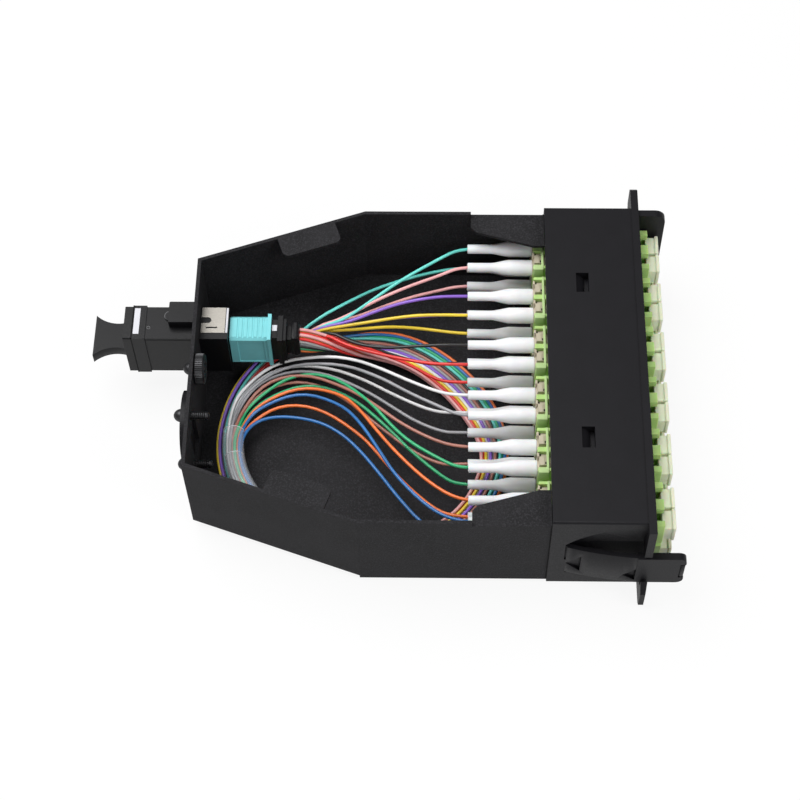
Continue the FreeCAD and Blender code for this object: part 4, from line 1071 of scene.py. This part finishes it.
class CASSETTE_OT_rear_fixings(bpy.types.Operator):
    """Finish the blanking plate, and turn the domed screws and the nut"""

    bl_idname = "cassette.rear_fixings"
    bl_label = "Rear plate and screws"

    def execute(self, context):
        dressed("blank_plate", moulding("plate plastic", colours().housing, 0.45))
        dark = plated("black plating", colours().plating, 0.42)
        low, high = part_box("plate_screws")
        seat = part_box("blank_plate")[0].x
        places = [
            (high.y - SCREW_HEAD, high.z - SCREW_HEAD), (low.y + SCREW_HEAD, low.z + SCREW_HEAD)
        ]
        screws = joined(
            "plate_screws_turned", [self.screw("plate screw", place, seat, high.x) for place in places]
        )
        placed(smooth(screws), dark, stands_for=["plate_screws"])
        low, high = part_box("adapter_screw")
        place = ((low.y + high.y) / 2, (low.z + high.z) / 2)
        nut_low, nut_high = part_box("adapter_nut")
        screw = self.screw("adapter_screw_turned", place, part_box("tray")[0].x, nut_high.x + 0.2 * MM)
        placed(smooth(screw), dark, stands_for=["adapter_screw"])
        nut = self.nut(place, nut_low.x, nut_high.x)
        placed(smooth(nut, 25.0), dark, stands_for=["adapter_nut"])
        return {"FINISHED"}

    def screw(self, name, place, seat, end):
        """Domed head on its seat, and a lightly threaded shank that ends at end."""
        rise = 2.1 * MM
        core = 0.95 * MM
        crest = 1.13 * MM
        pitch = 0.5 * MM
        turns = (1.45, 1.25, 1.0, 0.75, 0.5, 0.25, 0.0)
        dome = [(seat - rise * math.sin(turn), SCREW_HEAD * math.cos(turn)) for turn in turns]
        shank = [(seat, core)]
        x = seat + 0.6 * MM
        while x + pitch < end - 0.3 * MM:
            shank += [(x, core), (x + 0.35 * pitch, crest), (x + 0.65 * pitch, crest)]
            x += pitch
        shank += [(end - 0.25 * MM, core), (end, 0.6 * core)]
        screw = turned(name, dome + shank, place, 20)
        tip = dome[0][0] + 0.05 * MM
        with editing(screw):
            pick_faces(screw, lambda middle, normal: normal.x < -0.95 and middle.x < tip)
            bpy.ops.mesh.inset(thickness=0.06 * MM)
        return screw

    def nut(self, place, start, end):
        """Knurled nut: its rim is a ring of ribs."""
        radius = 4.15 * MM
        chamfer = 0.35 * MM
        bore = 1.2 * MM
        profile = [
            (start, bore), (start, radius - chamfer), (start + chamfer, radius), (end - chamfer, radius),
            (end, radius - chamfer), (end, 2.4 * MM), (end - 0.4 * MM, 1.9 * MM), (end - 0.4 * MM, bore),
        ]
        nut = turned("adapter_nut_turned", profile, place, 48, closed=False)
        y, z = place

        def on_rim(middle, normal):
            faces_out = math.hypot(normal.y, normal.z) > 0.95
            return faces_out and math.hypot(middle.y - y, middle.z - z) > radius - 0.1 * MM

        with editing(nut):
            pick_faces(nut, on_rim)
            bpy.ops.mesh.inset(thickness=0.12 * MM, depth=-0.12 * MM, use_individual=True)
        return nut


class CASSETTE_OT_stage(bpy.types.Operator):
    """Set the floor, the light and the camera"""

    bl_idname = "cassette.stage"
    bl_label = "Stage"

    def execute(self, context):
        stage = context.scene.cassette_stage
        self.camera(context, stage)
        self.lamps(context, stage)
        self.surroundings(context, stage)
        self.floor()
        context.scene.view_settings.view_transform = "Standard"
        return {"FINISHED"}

    def camera(self, context, stage):
        """Camera looking down on the open tray from the near side."""
        place = Vector((-0.05345, -0.26754, 0.44567))
        elevation = 1.0351
        yaw = -0.0372
        roll = -0.0256
        ahead = Vector((
            math.sin(yaw) * math.cos(elevation), math.cos(yaw) * math.cos(elevation), -math.sin(elevation)
        ))
        level = Vector((math.cos(yaw), -math.sin(yaw), 0.0))
        upright = level.cross(ahead)
        right = level * math.cos(roll) + upright * math.sin(roll)
        up = upright * math.cos(roll) - level * math.sin(roll)
        data = bpy.data.cameras.new("camera")
        data.lens = stage.lens
        data.sensor_width = 36.0
        data.clip_start = 0.01
        camera = bpy.data.objects.new("camera", data)
        turn = Matrix((right, up, -ahead)).transposed().to_4x4()
        camera.matrix_world = Matrix.Translation(place) @ turn
        context.collection.objects.link(camera)
        context.scene.camera = camera

    def lamps(self, context, stage):
        """Round soft lamps, all aimed at the middle of the tray."""
        target = Vector((-0.05, 0.0, 0.0))
        for name, place, size, power in (
            ("overhead lamp", (-0.32, 0.16, 0.62), 0.6, stage.key_power),
            ("front lamp", (-0.10, -0.62, 0.42), 0.45, stage.front_power),
            ("side lamp", (0.34, -0.22, 0.40), 0.35, stage.side_power),
        ):
            data = bpy.data.lights.new(name, "AREA")
            data.shape = "DISK"
            data.size = size
            data.energy = power
            lamp = bpy.data.objects.new(name, data)
            place = Vector(place)
            turn = (place - target).to_track_quat("Z", "Y").to_matrix().to_4x4()
            lamp.matrix_world = Matrix.Translation(place) @ turn
            context.collection.objects.link(lamp)

    def surroundings(self, context, stage):
        """White where it is seen, also through clear pieces, and a weaker light on the object."""
        world = bpy.data.worlds.new("studio")
        context.scene.world = world
        sky = Shading(world)
        seen = sky.ray("Camera").or_else(sky.ray("Transmission"))
        strength = seen * (1.0 - stage.fill) + stage.fill
        back = sky.node("ShaderNodeBackground", {"Color": (1.0, 1.0, 1.0, 1.0), "Strength": strength})
        sky.node("ShaderNodeOutputWorld", {"Surface": back})

    def floor(self):
        """Pale floor that glows where it is seen or reflected, and keeps the object's shadow."""
        side = 6.0
        gap = 0.2 * MM
        glow_share = 0.9
        place = (0.0, 0.0, CAD_BOX[0].z - gap)
        floor = primitive(bpy.ops.mesh.primitive_plane_add, "floor", size=side, location=place)
        material = bpy.data.materials.new("pale floor")
        paint = Shading(material)
        seen = paint.ray("Camera").or_else(paint.ray("Glossy")).or_else(paint.ray("Transmission"))
        share = seen * glow_share
        diffuse = paint.node("ShaderNodeBsdfDiffuse", {"Color": (0.85, 0.85, 0.85, 1.0)})
        mix = paint.node("ShaderNodeMixShader", {0: share, 1: diffuse, 2: paint.node("ShaderNodeEmission")})
        paint.node("ShaderNodeOutputMaterial", {"Surface": mix})
        floor.data.materials.append(material)


class CASSETTE_PT_panel(bpy.types.Panel):
    """The cassette's pieces and settings"""

    bl_idname = "CASSETTE_PT_panel"
    bl_label = "Fibre cassette"
    bl_space_type = "VIEW_3D"
    bl_region_type = "UI"
    bl_category = "Cassette"

    def draw(self, context):
        for operator in OPERATORS:
            self.layout.operator(operator.bl_idname)
        for group in (
            context.scene.cassette_fibre_sizes, context.scene.cassette_colours, context.scene.cassette_stage
        ):
            box = self.layout.box()
            for name in group.__annotations__:
                box.prop(group, name)


GROUPS = {
    "cassette_fibre_sizes": CassetteFibreSizes,
    "cassette_colours": CassetteColours,
    "cassette_stage": CassetteStage,
}
OPERATORS = [
    CASSETTE_OT_tray, CASSETTE_OT_housing, CASSETTE_OT_adapters, CASSETTE_OT_boots,
    CASSETTE_OT_rear_adapter, CASSETTE_OT_connector, CASSETTE_OT_rear_fixings, CASSETTE_OT_fibres,
    CASSETTE_OT_clear_tubes, CASSETTE_OT_stage,
]


def register():
    for group in GROUPS.values():
        bpy.utils.register_class(group)
    for name, group in GROUPS.items():
        setattr(bpy.types.Scene, name, bpy.props.PointerProperty(type=group))
    for operator in OPERATORS:
        bpy.utils.register_class(operator)
    bpy.utils.register_class(CASSETTE_PT_panel)


def unregister():
    bpy.utils.unregister_class(CASSETTE_PT_panel)
    for operator in reversed(OPERATORS):
        bpy.utils.unregister_class(operator)
    for name, group in GROUPS.items():
        delattr(bpy.types.Scene, name)
        bpy.utils.unregister_class(group)


def main():
    register()
    for operator in OPERATORS:
        family, name = operator.bl_idname.split(".")
        getattr(getattr(bpy.ops, family), name)()


if __name__ == "__main__":
    main()
